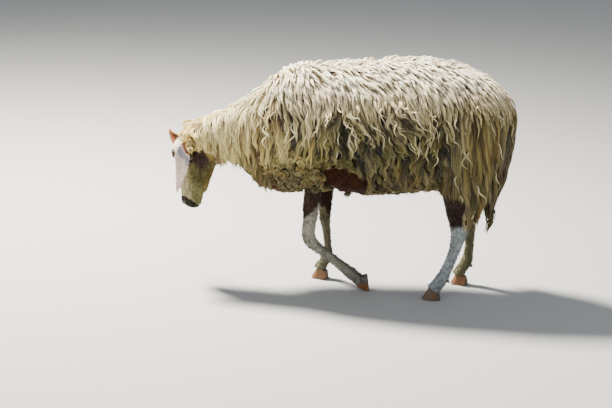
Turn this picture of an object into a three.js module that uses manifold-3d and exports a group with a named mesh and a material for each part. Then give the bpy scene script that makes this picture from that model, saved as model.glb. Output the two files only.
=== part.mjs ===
// A long-woolled, lop-eared ewe that walks and grazes: head down, one fore foot on its toe.
// Millimetres, +Z up. The animal faces -X and its left side is towards -Y.
// Solids reach the tips of the coat; every pair of neighbours is parted by a thin gap.

import * as THREE from 'three';
import { mergeVertices } from 'three/addons/utils/BufferGeometryUtils.js';
import Module from 'manifold-3d';

const wasm = await Module();
wasm.setup();

// ---------------------------------------------------------------- driving dimensions

const GAP = 0.35;              // clearance between two neighbouring solids
const FLOOR = 0;               // height that every sole stands on
const TRUNK_SIDES = 24;        // facets round the fleece
const THIGH_SIDES = 14;
const LIMB_SIDES = 12;         // facets round a fore leg and the tail
const HEAD_SIDES = 18;
const NECK_SIDES = 18;
const CLUMP_RINGS = 4;         // rings of the barrel to each hanging clump of wool
const CLUMP_DROP = 5;          // how far a clump's tip hangs below the hem's mean line
const CLUMP_BULGE = 3;         // how far a clump stands out at the side

// The body is modelled with a level back and then pitched, head end down, about the hind feet.
const PITCH = 3;
const PITCH_CENTRE = [300, 0, 0];

// Fleece of the barrel: x, top, height of the widest line, bottom, half width
const BARREL = [
  [-345, 560, 508, 462, 40],
  [-335, 596, 512, 436, 84],
  [-305, 645, 516, 394, 116],
  [-255, 694, 520, 352, 142],
  [-195, 745, 520, 330, 160],
  [-125, 766, 520, 330, 173],
  [-55, 762, 525, 334, 184],
  [15, 766, 525, 329, 190],
  [85, 770, 525, 320, 196],
  [155, 774, 528, 318, 200],
  [225, 776, 532, 325, 200],
  [295, 771, 540, 334, 196],
  [360, 757, 545, 338, 188],
  [420, 734, 550, 346, 178],
  [472, 703, 555, 368, 160],
  [510, 668, 560, 425, 126],
  [531, 636, 565, 485, 80],
  [541, 606, 570, 530, 34],
];
const BARREL_RINGS = 35;
const BARREL_SQUARENESS = 2.15; // 2 is an oval, more is squarer

// Woolled neck: centre x, y, z, half height, half width, lean of the ring towards the nose
const NECK = [
  [-270, 0, 528, 118, 104, 0],
  [-335, -3, 524, 100, 92, 4],
  [-385, -7, 519, 88, 83, 12],
  [-425, -11, 506, 84, 75, 25],
  [-452, -15, 490, 82, 68, 38],
];
const NECK_RINGS = 8;
const NECK_SQUARENESS = 2.1;

// Head frame: the bridge of the face runs down from the poll, turned towards the left side
const HEAD_TURN = 25;          // degrees that the face is turned to its left
const HEAD_LEAN = 9.6;         // degrees that the nose is tucked under
const POLL = [-545, -36, 535];
// along the bridge, depth of the forehead side, depth of the jaw side, half width, squareness
const SKULL = [
  [-1, 70, 94, 22, 2.0],
  [8, 52, 112, 38, 2.1],
  [18, 36, 119, 45, 2.2],
  [27, 22, 124, 49, 2.2],
  [36, 9, 127, 51.5, 2.2],
  [52, 1, 134, 54, 2.3],
  [78, 0, 139, 54, 2.3],
  [102, -1, 138, 50, 2.3],
  [126, -2, 131, 44, 2.3],
  [150, -3, 116, 38, 2.3],
  [174, -4, 98, 33, 2.3],
  [198, -5, 80, 29.5, 2.3],
  [218, -6, 66, 28.5, 2.4],
  [236, -4, 57, 27.5, 2.4],
  [249, 6, 50, 23, 2.3],
  [259, 22, 44, 13, 2.0],
];
const SKULL_RINGS = 18;

const EYE_RADIUS = 14.5;
const EYE_ALONG = 78;          // below the poll, along the bridge
const EYE_DEPTH = 29;          // behind the forehead
const EYE_APART = 47.5;        // from the middle of the head to the centre of an eyeball
const ORBIT = { along: 25, depth: 22, side: 18, inset: 4, forward: 2 };
const NOSTRIL = { along: 236, depth: 4, side: 11, halfAlong: 8, halfDepth: 5, halfSide: 7 };
const MOUTH = { from: 212, to: 262, depth: 43, slit: 1.4, cut: 4, reach: 60 };

// Ears: centre line x, y, z, half width, half thickness
const EAR_LEFT = [
  [-468, -44, 508, 11, 6],
  [-485, -64, 508, 14, 5],
  [-501, -80, 496, 18.5, 4],
  [-509, -90, 470, 22.5, 3.4],
  [-512, -94, 438, 20, 3.2],
  [-517, -94, 405, 14, 3],
  [-524, -91, 374, 7.5, 2.6],
  [-529, -88, 355, 2.4, 1.6],
];
const EAR_RIGHT = [
  [-498, 18, 500, 11, 6],
  [-512, 40, 493, 13.5, 5],
  [-525, 60, 490, 17, 4],
  [-538, 82, 489, 19.5, 3.4],
  [-549, 105, 490, 18.5, 3.2],
  [-558, 128, 493, 15, 3],
  [-565, 149, 499, 9.5, 2.6],
  [-571, 164, 505, 2.6, 1.6],
];
const EAR_CUP = 0.42;          // depth of the ear's gutter for each unit of half width
const EAR_RINGS = 14;
const EAR_SIDES = 12;
const EAR_FLAT_RINGS = 5;      // rings over which the gutter runs out towards the tip

// Tail with its wool: centre x, y, z, half size fore and aft, half size to the side
const TAIL = [
  [470, 0, 640, 24, 28],
  [507, 0, 622, 24, 34],
  [527, 0, 590, 23, 38],
  [531, 0, 548, 22, 38],
  [524, 0, 487, 21, 36],
  [514, 0, 432, 22, 33],
  [496, 0, 376, 20, 29],
  [481, 0, 325, 17, 24],
  [471, 0, 282, 13, 18],
  [468, 0, 247, 9, 12],
  [469, 0, 219, 3, 4],
];
const TAIL_RINGS = 14;

// Legs: centre x, y, z, half size fore and aft, half size to the side
const LEG_FORE_LEFT = [
  [-92, -80, 420, 52, 40],
  [-99, -78, 350, 36, 30],
  [-104, -75, 300, 28, 24],
  [-107, -71, 262, 23.5, 21],
  [-112, -67, 228, 22, 20.5],
  [-112, -63, 205, 22.5, 21],
  [-105, -59, 185, 22, 20],
  [-86, -54, 164, 18.5, 17],
  [-60, -49, 142, 16, 15.5],
  [-30, -44, 118, 16, 15.5],
  [2, -39, 91, 18, 17.5],
  [24, -36, 72, 20.5, 20],
  [41, -34, 58, 20, 19.5],
  [54, -33, 47, 20.5, 21],
  [63, -32, 39, 20, 21],
];
const LEG_FORE_RIGHT = [
  [-66, 80, 420, 50, 38],
  [-60, 80, 350, 36, 29],
  [-57, 80, 295, 26, 23],
  [-57, 80, 252, 20.5, 20.5],
  [-58, 80, 228, 20, 21],
  [-55, 81, 204, 16.5, 17.5],
  [-51, 82, 168, 13.5, 14.5],
  [-48, 83, 132, 13.5, 14.5],
  [-48, 84, 110, 17, 17.5],
  [-52, 85, 93, 19.5, 19.5],
  [-61, 85, 75, 17.5, 19],
  [-71, 85, 60, 20, 22],
  [-76, 85, 52, 21, 22],
];
const LEG_HIND_LEFT = [
  [412, -108, 652, 26, 26],
  [408, -110, 610, 62, 56],
  [402, -110, 545, 88, 76],
  [397, -108, 470, 93, 84],
  [392, -106, 400, 88, 84],
  [379, -104, 345, 78, 74],
  [372, -101, 308, 58, 54],
  [368, -99, 278, 45, 37],
  [367, -98, 248, 34, 26],
  [367, -97, 222, 28, 21.5],
  [361, -96, 196, 23.5, 19],
  [354, -96, 165, 19.5, 17],
  [343, -95, 132, 18, 16],
  [329, -95, 98, 18.5, 17.5],
  [319, -95, 76, 21, 20],
  [306, -95, 57, 20.5, 20],
  [295, -95, 42, 22, 23],
  [289, -95, 34, 23, 23],
];
const LEG_HIND_RIGHT = [
  [416, 108, 652, 26, 26],
  [412, 110, 610, 60, 56],
  [406, 110, 545, 86, 76],
  [401, 108, 470, 90, 84],
  [398, 106, 400, 84, 84],
  [399, 104, 345, 67, 74],
  [403, 101, 308, 50, 54],
  [409, 99, 278, 40, 37],
  [416, 98, 248, 31, 26],
  [419, 97, 222, 27, 21.5],
  [420, 96, 198, 22, 19],
  [423, 96, 170, 17, 17],
  [421, 95, 132, 15.5, 16],
  [418, 95, 96, 17, 17.5],
  [412, 95, 73, 20, 19.5],
  [401, 95, 54, 18.5, 19.5],
  [391, 95, 37, 20.5, 22],
  [386, 95, 28, 21, 22],
];
const LEG_RINGS = 20;

// One claw, sole down and toe forward. `flare` is its size at the top for each unit at the sole.
const CLAW = { length: 62, width: 23, toeHeight: 37, heelHeight: 24, flare: 0.84, split: 1.2 };
const CLAW_POINTS = 10;
const CLAW_LEVELS = [0, 0.35, 0.7, 1];
// How far the toe stands back at the sole, how far it slopes back above it, how the heel slopes
const CLAW_SLOPE = { start: 0.06, toe: 0.34, heel: 0.05 };
// Width at the toe for each unit at the heel, and how far the toes close over the cleft
const CLAW_TOE = { width: 0.72, close: 1.5 };
// Each foot, once pitched: toe x, y of the cleft, z, turn of the sole about Y in degrees
const FEET = {
  fore_left: { toe: [86, -32, -7.6], turn: -98 },
  fore_right: { toe: [-107, 85, 0], turn: 0 },
  hind_left: { toe: [249, -95, 0], turn: 0 },
  hind_right: { toe: [357, 95, 0], turn: 0 },
};
const DEWCLAW = { length: 15, radius: 6, apart: 11 };
// Where the dewclaws sit: centre of the pair, direction in which they point
const DEWCLAWS = {
  fore_left: { at: [37, -36, 83], point: [0.75, 0, 0.5] },
  fore_right: { at: [-34, 85, 81], point: [0.75, 0, -0.65] },
  hind_left: { at: [336, -95, 62], point: [0.75, 0, -0.65] },
  hind_right: { at: [429, 95, 60], point: [0.75, 0, -0.65] },
};

const UDDER = { at: [384, 0, 322], half: [50, 42, 36] };
const TEAT = { half: [9, 9, 17], apart: 24, forward: 16, sunk: 4 };

// Facets of each ellipsoid: round it, and from pole to pole
const FACETS = {
  brow: [8, 7], eye: [12, 8], nostril: [6, 4], udder: [10, 7], teat: [5, 4], dewclaw: [6, 5],
};

// ---------------------------------------------------------------- shaping helpers

const UP = new THREE.Vector3(0, 0, 1);
const LEFTWARD = new THREE.Vector3(0, -1, 0);
const AS_PITCHED = new THREE.Matrix4()
  .makeTranslation(...PITCH_CENTRE)
  .multiply(new THREE.Matrix4().makeRotationY(THREE.MathUtils.degToRad(-PITCH)))
  .multiply(new THREE.Matrix4().makeTranslation(...PITCH_CENTRE.map((v) => -v)));
const AS_STANDING = new THREE.Matrix4();
const MERGE_WITHIN = 1e-4;     // points closer than this are one

// Rows of numbers, resampled along a smooth curve through them.
function smoothRows(rows, count) {
  const last = rows.length - 1;
  const row = (i) => rows[Math.min(Math.max(i, 0), last)];
  return Array.from({ length: count }, (_, k) => {
    const position = (k / (count - 1)) * last;
    const i = Math.min(Math.floor(position), last - 1);
    const t = position - i;
    return row(i).map((_, column) => {
      const [a, b, c, d] = [-1, 0, 1, 2].map((step) => row(i + step)[column]);
      const curve = 2 * a - 5 * b + 4 * c - d;
      const twist = 3 * (b - c) + d - a;
      return b + 0.5 * t * (c - a + t * (curve + t * twist));
    });
  });
}

// A closed ring round a centre: `rise` and `drop` are its half sizes along +up and -up.
function ring({ centre, side, up, halfSide, rise, drop, power = 2, sides, shift }) {
  return Array.from({ length: sides }, (_, k) => {
    const angle = (2 * Math.PI * k) / sides;
    const [c, s] = [Math.cos(angle), Math.sin(angle)];
    const across = Math.sign(c) * Math.abs(c) ** (2 / power) * halfSide;
    const along = Math.sign(s) * Math.abs(s) ** (2 / power) * (s > 0 ? rise : drop);
    const point = centre.clone().addScaledVector(side, across).addScaledVector(up, along);
    return shift ? point.add(shift(c, s, point)) : point;
  });
}

// Skins a list of equal rings into one closed solid, in the pitched pose unless told otherwise.
function loft(rings, pose = AS_PITCHED) {
  const sides = rings[0].length;
  const points = rings.flat();
  const ends = [rings[0], rings.at(-1)].map((loop) =>
    loop.reduce((sum, p) => sum.add(p), new THREE.Vector3()).divideScalar(sides));
  points.push(...ends);
  const faces = [];
  for (let r = 0; r + 1 < rings.length; r += 1) {
    for (let k = 0; k < sides; k += 1) {
      const [a, b] = [r * sides + k, r * sides + ((k + 1) % sides)];
      faces.push(a, b, a + sides, b, b + sides, a + sides);
    }
  }
  const top = (rings.length - 1) * sides;
  for (let k = 0; k < sides; k += 1) {
    const next = (k + 1) % sides;
    faces.push(k, points.length - 2, next);
    faces.push(top + k, top + next, points.length - 1);
  }
  const geometry = new THREE.BufferGeometry().setFromPoints(points);
  geometry.setIndex(faces);
  return solidFrom(geometry, pose);
}

// Turns a closed geometry, whichever way its faces point, into a solid.
function solidFrom(source, pose = AS_PITCHED) {
  const bare = source.clone().applyMatrix4(pose);
  bare.deleteAttribute('normal');
  bare.deleteAttribute('uv');
  const merged = mergeVertices(bare, MERGE_WITHIN);
  const vertProperties = Float32Array.from(merged.attributes.position.array);
  const triVerts = Uint32Array.from(merged.index.array);
  if (signedVolume(vertProperties, triVerts) < 0) {
    for (let i = 0; i < triVerts.length; i += 3) {
      [triVerts[i + 1], triVerts[i + 2]] = [triVerts[i + 2], triVerts[i + 1]];
    }
  }
  return new wasm.Manifold(new wasm.Mesh({ numProp: 3, vertProperties, triVerts }));
}

function signedVolume(positions, indices) {
  const corner = (i) => new THREE.Vector3().fromArray(positions, 3 * indices[i]);
  let total = 0;
  for (let i = 0; i < indices.length; i += 3) {
    total += corner(i).dot(corner(i + 1).cross(corner(i + 2))) / 6;
  }
  return total;
}

// The largest connected body of a solid, without the crumbs that a cut can leave.
function largestBody(solid) {
  return solid.decompose().reduce((best, body) => (body.volume() > best.volume() ? body : best));
}

// A limb or tail: rings square to the path, each with its own half sizes.
function tube(rows, { rings, sides, power = 2, grow = 0 }) {
  const stations = smoothRows(rows, rings);
  const centres = stations.map(([x, y, z]) => new THREE.Vector3(x, y, z));
  const lastIndex = centres.length - 1;
  return loft(stations.map(([, , , foreAft, sideways], k) => {
    const before = centres[Math.max(k - 1, 0)];
    const after = centres[Math.min(k + 1, lastIndex)];
    const along = after.clone().sub(before).normalize();
    const side = LEFTWARD.clone().addScaledVector(along, -LEFTWARD.dot(along)).normalize();
    const centre = centres[k].clone();
    if (k === 0) centre.addScaledVector(along, -grow);
    if (k === lastIndex) centre.addScaledVector(along, grow);
    const half = foreAft + grow;
    return ring({
      centre, side, up: side.clone().cross(along),
      halfSide: sideways + grow, rise: half, drop: half, power, sides,
    });
  }));
}

// An ellipsoid of the given half sizes in the frame made by three unit vectors.
function ellipsoid(centre, half, frame, facets) {
  const geometry = new THREE.SphereGeometry(1, ...facets);
  const [a, b, c] = frame.map((axis, i) => axis.clone().multiplyScalar(half[i]));
  geometry.applyMatrix4(new THREE.Matrix4().makeBasis(a, b, c).setPosition(centre));
  return solidFrom(geometry);
}

const WORLD_AXES = [new THREE.Vector3(1, 0, 0), new THREE.Vector3(0, 1, 0), UP];

// ---------------------------------------------------------------- body

// Wool clumps make the sides and the lower edge wave along the body.
function barrel(grow = 0) {
  const stations = smoothRows(BARREL, BARREL_RINGS);
  return loft(stations.map(([x, top, widest, bottom, halfWidth], k) => {
    const end = k === 0 ? -grow : k === stations.length - 1 ? grow : 0;
    const wave = Math.cos((2 * Math.PI * k) / CLUMP_RINGS);
    return ring({
      centre: new THREE.Vector3(x + end, 0, widest),
      side: LEFTWARD, up: UP, sides: TRUNK_SIDES, power: BARREL_SQUARENESS,
      halfSide: halfWidth + grow, rise: top - widest + grow, drop: widest - bottom + grow,
      shift: (c, s) => LEFTWARD.clone().multiplyScalar(CLUMP_BULGE * wave * c * Math.max(-s, 0))
        .addScaledVector(UP, CLUMP_DROP * wave * Math.min(s, 0)),
    });
  }));
}

function neckWool(grow = 0) {
  const stations = smoothRows(NECK, NECK_RINGS);
  return loft(stations.map(([x, y, z, halfHeight, halfWidth, lean], k) => {
    const angle = THREE.MathUtils.degToRad(lean);
    const up = new THREE.Vector3(-Math.sin(angle), 0, Math.cos(angle));
    const along = new THREE.Vector3(-Math.cos(angle), 0, -Math.sin(angle));
    const end = k === 0 ? -grow : k === stations.length - 1 ? grow : 0;
    const centre = new THREE.Vector3(x, y, z).addScaledVector(along, end);
    return ring({
      centre, side: LEFTWARD, up, sides: NECK_SIDES, power: NECK_SQUARENESS,
      halfSide: halfWidth + grow, rise: halfHeight + grow, drop: halfHeight + grow,
    });
  }));
}

function udder(grow = 0) {
  const [x, y, z] = UDDER.at;
  const grown = (half) => half.map((h) => h + grow);
  const bag = ellipsoid(new THREE.Vector3(x, y, z), grown(UDDER.half), WORLD_AXES, FACETS.udder);
  return [-1, 1].reduce((body, side) => {
    const root = new THREE.Vector3(x - TEAT.forward, y + side * TEAT.apart,
      z - UDDER.half[2] + TEAT.sunk);
    return body.add(ellipsoid(root, grown(TEAT.half), WORLD_AXES, FACETS.teat));
  }, bag);
}

// ---------------------------------------------------------------- head

const turn = THREE.MathUtils.degToRad(HEAD_TURN);
const lean = THREE.MathUtils.degToRad(HEAD_LEAN);
const level = new THREE.Vector3(Math.cos(turn), Math.sin(turn), 0);
const noseward = level.clone().multiplyScalar(Math.sin(lean)).addScaledVector(UP, -Math.cos(lean));
const jawward = level.clone().multiplyScalar(Math.cos(lean)).addScaledVector(UP, Math.sin(lean));
const leftward = new THREE.Vector3(Math.sin(turn), -Math.cos(turn), 0);
const HEAD_FRAME = [noseward, jawward, leftward];

function headPoint(along, depth, side) {
  return new THREE.Vector3(...POLL)
    .addScaledVector(noseward, along)
    .addScaledVector(jawward, depth)
    .addScaledVector(leftward, side);
}

function skullLoft(grow = 0) {
  return loft(smoothRows(SKULL, SKULL_RINGS).map(([along, near, far, halfWidth, power]) => {
    const half = (far - near) / 2 + grow;
    return ring({
      centre: headPoint(along, (near + far) / 2, 0), side: leftward, up: jawward,
      halfSide: halfWidth + grow, rise: half, drop: half, power, sides: HEAD_SIDES,
    });
  }));
}

function headBox(from, to) {
  const size = to.map((value, i) => value - from[i]);
  const geometry = new THREE.BoxGeometry(...size);
  const middle = headPoint(...to.map((value, i) => (value + from[i]) / 2));
  geometry.applyMatrix4(new THREE.Matrix4().makeBasis(...HEAD_FRAME).setPosition(middle));
  return solidFrom(geometry);
}

function eyeball(side, grow = 0) {
  const half = Array(3).fill(EYE_RADIUS + grow);
  const centre = headPoint(EYE_ALONG, EYE_DEPTH, side * EYE_APART);
  return ellipsoid(centre, half, HEAD_FRAME, FACETS.eye);
}

function headSolid() {
  let head = skullLoft();
  for (const side of [-1, 1]) {
    const brow = headPoint(EYE_ALONG, EYE_DEPTH - ORBIT.forward, side * (EYE_APART - ORBIT.inset));
    const half = [ORBIT.along, ORBIT.depth, ORBIT.side];
    head = head.add(ellipsoid(brow, half, HEAD_FRAME, FACETS.brow));
  }
  for (const side of [-1, 1]) {
    const { along, depth, halfAlong, halfDepth, halfSide } = NOSTRIL;
    const hole = headPoint(along, depth, side * (NOSTRIL.side + halfSide));
    head = head
      .subtract(eyeball(side, GAP))
      .subtract(ellipsoid(hole, [halfAlong, halfDepth, halfSide], HEAD_FRAME, FACETS.nostril));
  }
  const lipLine = headBox(
    [MOUTH.from, MOUTH.depth, -MOUTH.reach],
    [MOUTH.to, MOUTH.depth + MOUTH.slit, MOUTH.reach],
  );
  return head.subtract(lipLine.subtract(skullLoft(-MOUTH.cut)));
}

// A leaf bent into a gutter. `facing` is the way its hollow side looks.
function earLeaf(rows, facing, grow = 0) {
  const stations = smoothRows(rows, EAR_RINGS);
  const centres = stations.map(([x, y, z]) => new THREE.Vector3(x, y, z));
  const lastIndex = centres.length - 1;
  return loft(stations.map(([, , , halfWidth, halfThick], k) => {
    const before = centres[Math.max(k - 1, 0)];
    const after = centres[Math.min(k + 1, lastIndex)];
    const along = after.clone().sub(before).normalize();
    const out = facing.clone().addScaledVector(along, -facing.dot(along)).normalize();
    const cup = EAR_CUP * halfWidth * Math.min(1, (lastIndex - k) / EAR_FLAT_RINGS);
    return ring({
      centre: centres[k], side: along.clone().cross(out), up: out, sides: EAR_SIDES,
      halfSide: halfWidth + grow, rise: halfThick + grow, drop: halfThick + grow,
      shift: (c) => out.clone().multiplyScalar(cup * (c * c - 0.5)),
    });
  }));
}

// ---------------------------------------------------------------- feet

// Half of a cloven hoof. Its sole lies in z = 0 and its toe points to -X from the origin.
function clawAt(foot, side, grow = 0) {
  const { length, width, toeHeight, heelHeight, flare, split } = CLAW;
  const { start, toe, heel } = CLAW_SLOPE;
  const rings = CLAW_LEVELS.map((share) => {
    const size = 1 - (1 - flare) * share;
    const front = length * (start + toe * share);
    const rear = length * (1 - heel * share);
    return Array.from({ length: CLAW_POINTS }, (_, k) => {
      const angle = (2 * Math.PI * k) / CLAW_POINTS;
      const back = 0.5 - 0.5 * Math.cos(angle);
      const plump = CLAW_TOE.width + (1 - CLAW_TOE.width) * back;
      const bulge = Math.sin(angle) * plump * (width / 2) * size;
      const rest = side * (width / 2 + split - CLAW_TOE.close * (1 - back));
      const height = share * (toeHeight + (heelHeight - toeHeight) * back);
      return new THREE.Vector3(front * (1 - back) + rear * back, rest + bulge, height);
    });
  });
  if (grow) {
    const middle = new THREE.Vector3(length / 2, side * (width / 2 + split), toeHeight / 2);
    const swell = new THREE.Vector3(1 + (2 * grow) / length, 1 + (2 * grow) / width,
      1 + (2 * grow) / heelHeight);
    rings.flat().forEach((p) => p.sub(middle).multiply(swell).add(middle));
  }
  const placement = new THREE.Matrix4()
    .makeRotationY(THREE.MathUtils.degToRad(foot.turn))
    .setPosition(...foot.toe);
  rings.flat().forEach((p) => p.applyMatrix4(placement));
  return loft(rings, AS_STANDING);
}

function dewclawAt({ at, point }, side, grow = 0) {
  const along = new THREE.Vector3(...point).normalize();
  const across = LEFTWARD;
  const root = new THREE.Vector3(...at).addScaledVector(across, side * DEWCLAW.apart);
  const half = [DEWCLAW.length / 2, DEWCLAW.radius, DEWCLAW.radius].map((h) => h + grow);
  const frame = [along, across, along.clone().cross(across)];
  return ellipsoid(root, half, frame, FACETS.dewclaw);
}

function trimAtFloor(solid) {
  const depth = 60;
  const size = 2400;
  const slab = new THREE.BoxGeometry(size, size, depth).translate(0, 0, FLOOR - depth / 2);
  return solid.subtract(solidFrom(slab, AS_STANDING));
}

// ---------------------------------------------------------------- assembly

const LEGS = {
  fore_left: LEG_FORE_LEFT,
  fore_right: LEG_FORE_RIGHT,
  hind_left: LEG_HIND_LEFT,
  hind_right: LEG_HIND_RIGHT,
};
const legTube = (name, grow = 0) =>
  tube(LEGS[name], {
    rings: LEG_RINGS, sides: name.startsWith('hind') ? THIGH_SIDES : LIMB_SIDES, grow,
  });
const tailTube = (grow = 0) => tube(TAIL, { rings: TAIL_RINGS, sides: LIMB_SIDES, grow });
const FACING_LEFT = new THREE.Vector3(0.1, -1, 0.1).normalize();
const FACING_RIGHT = new THREE.Vector3(-1, -0.75, 0.1).normalize();
const earLeft = (grow = 0) => earLeaf(EAR_LEFT, FACING_LEFT, grow);
const earRight = (grow = 0) => earLeaf(EAR_RIGHT, FACING_RIGHT, grow);

const cutBy = (solid, ...others) => others.reduce((left, other) => left.subtract(other), solid);

const material = (color, roughness, metalness = 0) =>
  new THREE.MeshStandardMaterial({ color, roughness, metalness });
const WOOL = material(0xcfc3a6, 0.95);
const SHORT_HAIR = material(0xb9b2a0, 0.85);
const EAR_SKIN = material(0xd9c4b6, 0.75);
const HORN = material(0x7d5a3c, 0.55);
const EYE = material(0x2b2115, 0.12);

const sheep = new THREE.Group();

function addNode(name, solid, finish) {
  const { vertProperties, triVerts } = largestBody(solid).getMesh();
  const geometry = new THREE.BufferGeometry();
  geometry.setAttribute('position', new THREE.BufferAttribute(Float32Array.from(vertProperties), 3));
  geometry.setIndex(Array.from(triVerts));
  geometry.computeVertexNormals();
  const mesh = new THREE.Mesh(geometry, finish);
  mesh.name = name;
  sheep.add(mesh);
}

const hindLegs = () => [legTube('hind_left', GAP), legTube('hind_right', GAP)];

addNode('trunk', cutBy(barrel(), ...hindLegs()), WOOL);
addNode('neck', cutBy(neckWool(), barrel(GAP)), WOOL);
addNode('head', cutBy(headSolid(), neckWool(GAP), barrel(GAP)), SHORT_HAIR);
addNode('ear_left', cutBy(earLeft(), skullLoft(GAP), neckWool(GAP)), EAR_SKIN);
addNode('ear_right', cutBy(earRight(), skullLoft(GAP), neckWool(GAP)), EAR_SKIN);
addNode('eye_left', eyeball(1), EYE);
addNode('eye_right', eyeball(-1), EYE);
addNode('tail', cutBy(tailTube(), barrel(GAP), ...hindLegs()), WOOL);
addNode('udder', cutBy(udder(), barrel(GAP), ...hindLegs()), SHORT_HAIR);

const CLAW_SIDES = { outer: -1, inner: 1 };
for (const name of Object.keys(LEGS)) {
  const mirror = name.endsWith('left') ? 1 : -1;
  const horn = [];
  for (const [which, sign] of Object.entries(CLAW_SIDES)) {
    const side = sign * mirror;
    addNode(`claw_${name}_${which}`, trimAtFloor(clawAt(FEET[name], side)), HORN);
    horn.push(clawAt(FEET[name], side, GAP), dewclawAt(DEWCLAWS[name], -side, GAP));
  }
  const body = name.startsWith('fore') ? [barrel(GAP)] : [];
  addNode(`leg_${name}`, trimAtFloor(cutBy(legTube(name), ...horn, ...body)), SHORT_HAIR);
  for (const [which, sign] of Object.entries(CLAW_SIDES)) {
    addNode(`dewclaw_${name}_${which}`, dewclawAt(DEWCLAWS[name], -sign * mirror), HORN);
  }
}

// The origin is on the floor, under the middle of the whole animal.
const extent = new THREE.Box3().setFromObject(sheep, true);
const middle = extent.getCenter(new THREE.Vector3());
sheep.position.set(-middle.x, -middle.y, -extent.min.z);

export default sheep;
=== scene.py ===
import math

import bpy
import numpy as np
from mathutils import Matrix, Vector


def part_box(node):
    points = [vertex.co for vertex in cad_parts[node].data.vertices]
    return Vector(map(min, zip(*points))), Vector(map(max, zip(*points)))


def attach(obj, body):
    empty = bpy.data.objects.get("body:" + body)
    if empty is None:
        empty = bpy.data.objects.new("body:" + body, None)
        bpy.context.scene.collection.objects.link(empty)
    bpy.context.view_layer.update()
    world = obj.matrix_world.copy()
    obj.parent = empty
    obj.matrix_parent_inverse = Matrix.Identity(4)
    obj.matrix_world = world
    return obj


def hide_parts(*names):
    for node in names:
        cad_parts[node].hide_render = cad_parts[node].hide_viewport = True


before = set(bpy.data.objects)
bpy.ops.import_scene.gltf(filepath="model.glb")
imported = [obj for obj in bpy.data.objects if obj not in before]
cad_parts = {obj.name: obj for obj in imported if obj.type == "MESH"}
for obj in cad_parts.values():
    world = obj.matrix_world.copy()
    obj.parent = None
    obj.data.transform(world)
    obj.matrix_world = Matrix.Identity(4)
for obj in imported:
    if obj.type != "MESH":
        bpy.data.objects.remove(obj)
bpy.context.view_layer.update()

# A long-woolled, lop-eared ewe, made round the solids of the frame.
# Tables and fields are in millimetres with a level back, as the solids were drawn.
# `placed` pitches them and carries them into the frame, in metres.

MM = 0.001
PITCH = math.radians(3)
PITCH_CENTRE = np.array([300.0, 0.0, 0.0])
SEED = 7

# ---------------------------------------------------------------- driving dimensions

# Fleece of the barrel: x, top, height of the widest line, bottom, half width
BARREL = [
    (-345, 560, 508, 462, 40),
    (-335, 596, 512, 436, 84),
    (-305, 645, 516, 394, 116),
    (-255, 694, 520, 352, 142),
    (-195, 745, 520, 330, 160),
    (-125, 766, 520, 330, 173),
    (-55, 762, 525, 334, 184),
    (15, 766, 525, 329, 190),
    (85, 770, 525, 320, 196),
    (155, 774, 528, 318, 200),
    (225, 776, 532, 325, 200),
    (295, 771, 540, 334, 196),
    (360, 757, 545, 338, 188),
    (420, 734, 550, 346, 178),
    (472, 703, 555, 368, 160),
    (510, 668, 560, 425, 126),
    (531, 636, 565, 485, 80),
    (541, 606, 570, 530, 34),
]
BARREL_SQUARENESS = 2.15

# Woolled neck: centre x, y, z, half height, half width
NECK = [
    (-270, 0, 528, 118, 104),
    (-335, -3, 524, 100, 92),
    (-385, -7, 519, 88, 83),
    (-425, -11, 506, 84, 75),
    (-452, -15, 490, 82, 68),
]

# Head frame: the bridge of the face runs down from the poll, turned towards the left side
HEAD_TURN = math.radians(25)
HEAD_LEAN = math.radians(9.6)
POLL = np.array([-545.0, -36.0, 535.0])
# along the bridge, depth of the forehead side, depth of the jaw side, half width, squareness
SKULL = [
    (-1, 70, 94, 22, 2.0),
    (8, 52, 112, 38, 2.1),
    (18, 36, 119, 45, 2.2),
    (27, 22, 124, 49, 2.2),
    (36, 9, 127, 51.5, 2.2),
    (52, 1, 134, 54, 2.3),
    (78, 0, 139, 54, 2.3),
    (102, -1, 138, 50, 2.3),
    (126, -2, 131, 44, 2.3),
    (150, -3, 116, 38, 2.3),
    (174, -4, 98, 33, 2.3),
    (198, -5, 80, 29.5, 2.3),
    (218, -6, 66, 28.5, 2.4),
    (236, -4, 57, 27.5, 2.4),
    (249, 6, 50, 23, 2.3),
    (259, 22, 44, 13, 2.0),
]
# Places on the head are (along the bridge, depth behind the forehead, side)
EYE_RADIUS = 14.5
EYE = (78, 29, 47.5)
LID_THICKNESS = 2.3
EYE_OPENING = {"half_length": 12.5, "half_height": 7.2, "turn": math.radians(24)}

# Ears: centre line x, y, z, half width, half thickness
EAR_LEFT = [
    (-468, -44, 508, 11, 6),
    (-485, -64, 508, 14, 5),
    (-501, -80, 496, 18.5, 4),
    (-509, -90, 470, 22.5, 3.4),
    (-512, -94, 438, 20, 3.2),
    (-517, -94, 405, 14, 3),
    (-524, -91, 374, 7.5, 2.6),
    (-529, -88, 355, 2.4, 1.6),
]
EAR_RIGHT = [
    (-498, 18, 500, 11, 6),
    (-512, 40, 493, 13.5, 5),
    (-525, 60, 490, 17, 4),
    (-538, 82, 489, 19.5, 3.4),
    (-549, 105, 490, 18.5, 3.2),
    (-558, 128, 493, 15, 3),
    (-565, 149, 499, 9.5, 2.6),
    (-571, 164, 505, 2.6, 1.6),
]
EAR_CUP = 0.42
FACING = {"ear_left": (0.1, -1, 0.1), "ear_right": (-1, -0.75, 0.1)}

# Tail with its wool: centre x, y, z, half size fore and aft, half size to the side
TAIL = [
    (470, 0, 640, 24, 28),
    (507, 0, 622, 24, 34),
    (527, 0, 590, 23, 38),
    (531, 0, 548, 22, 38),
    (524, 0, 487, 21, 36),
    (514, 0, 432, 22, 33),
    (496, 0, 376, 20, 29),
    (481, 0, 325, 17, 24),
    (471, 0, 282, 13, 18),
    (468, 0, 247, 9, 12),
    (469, 0, 219, 3, 4),
]

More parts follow.
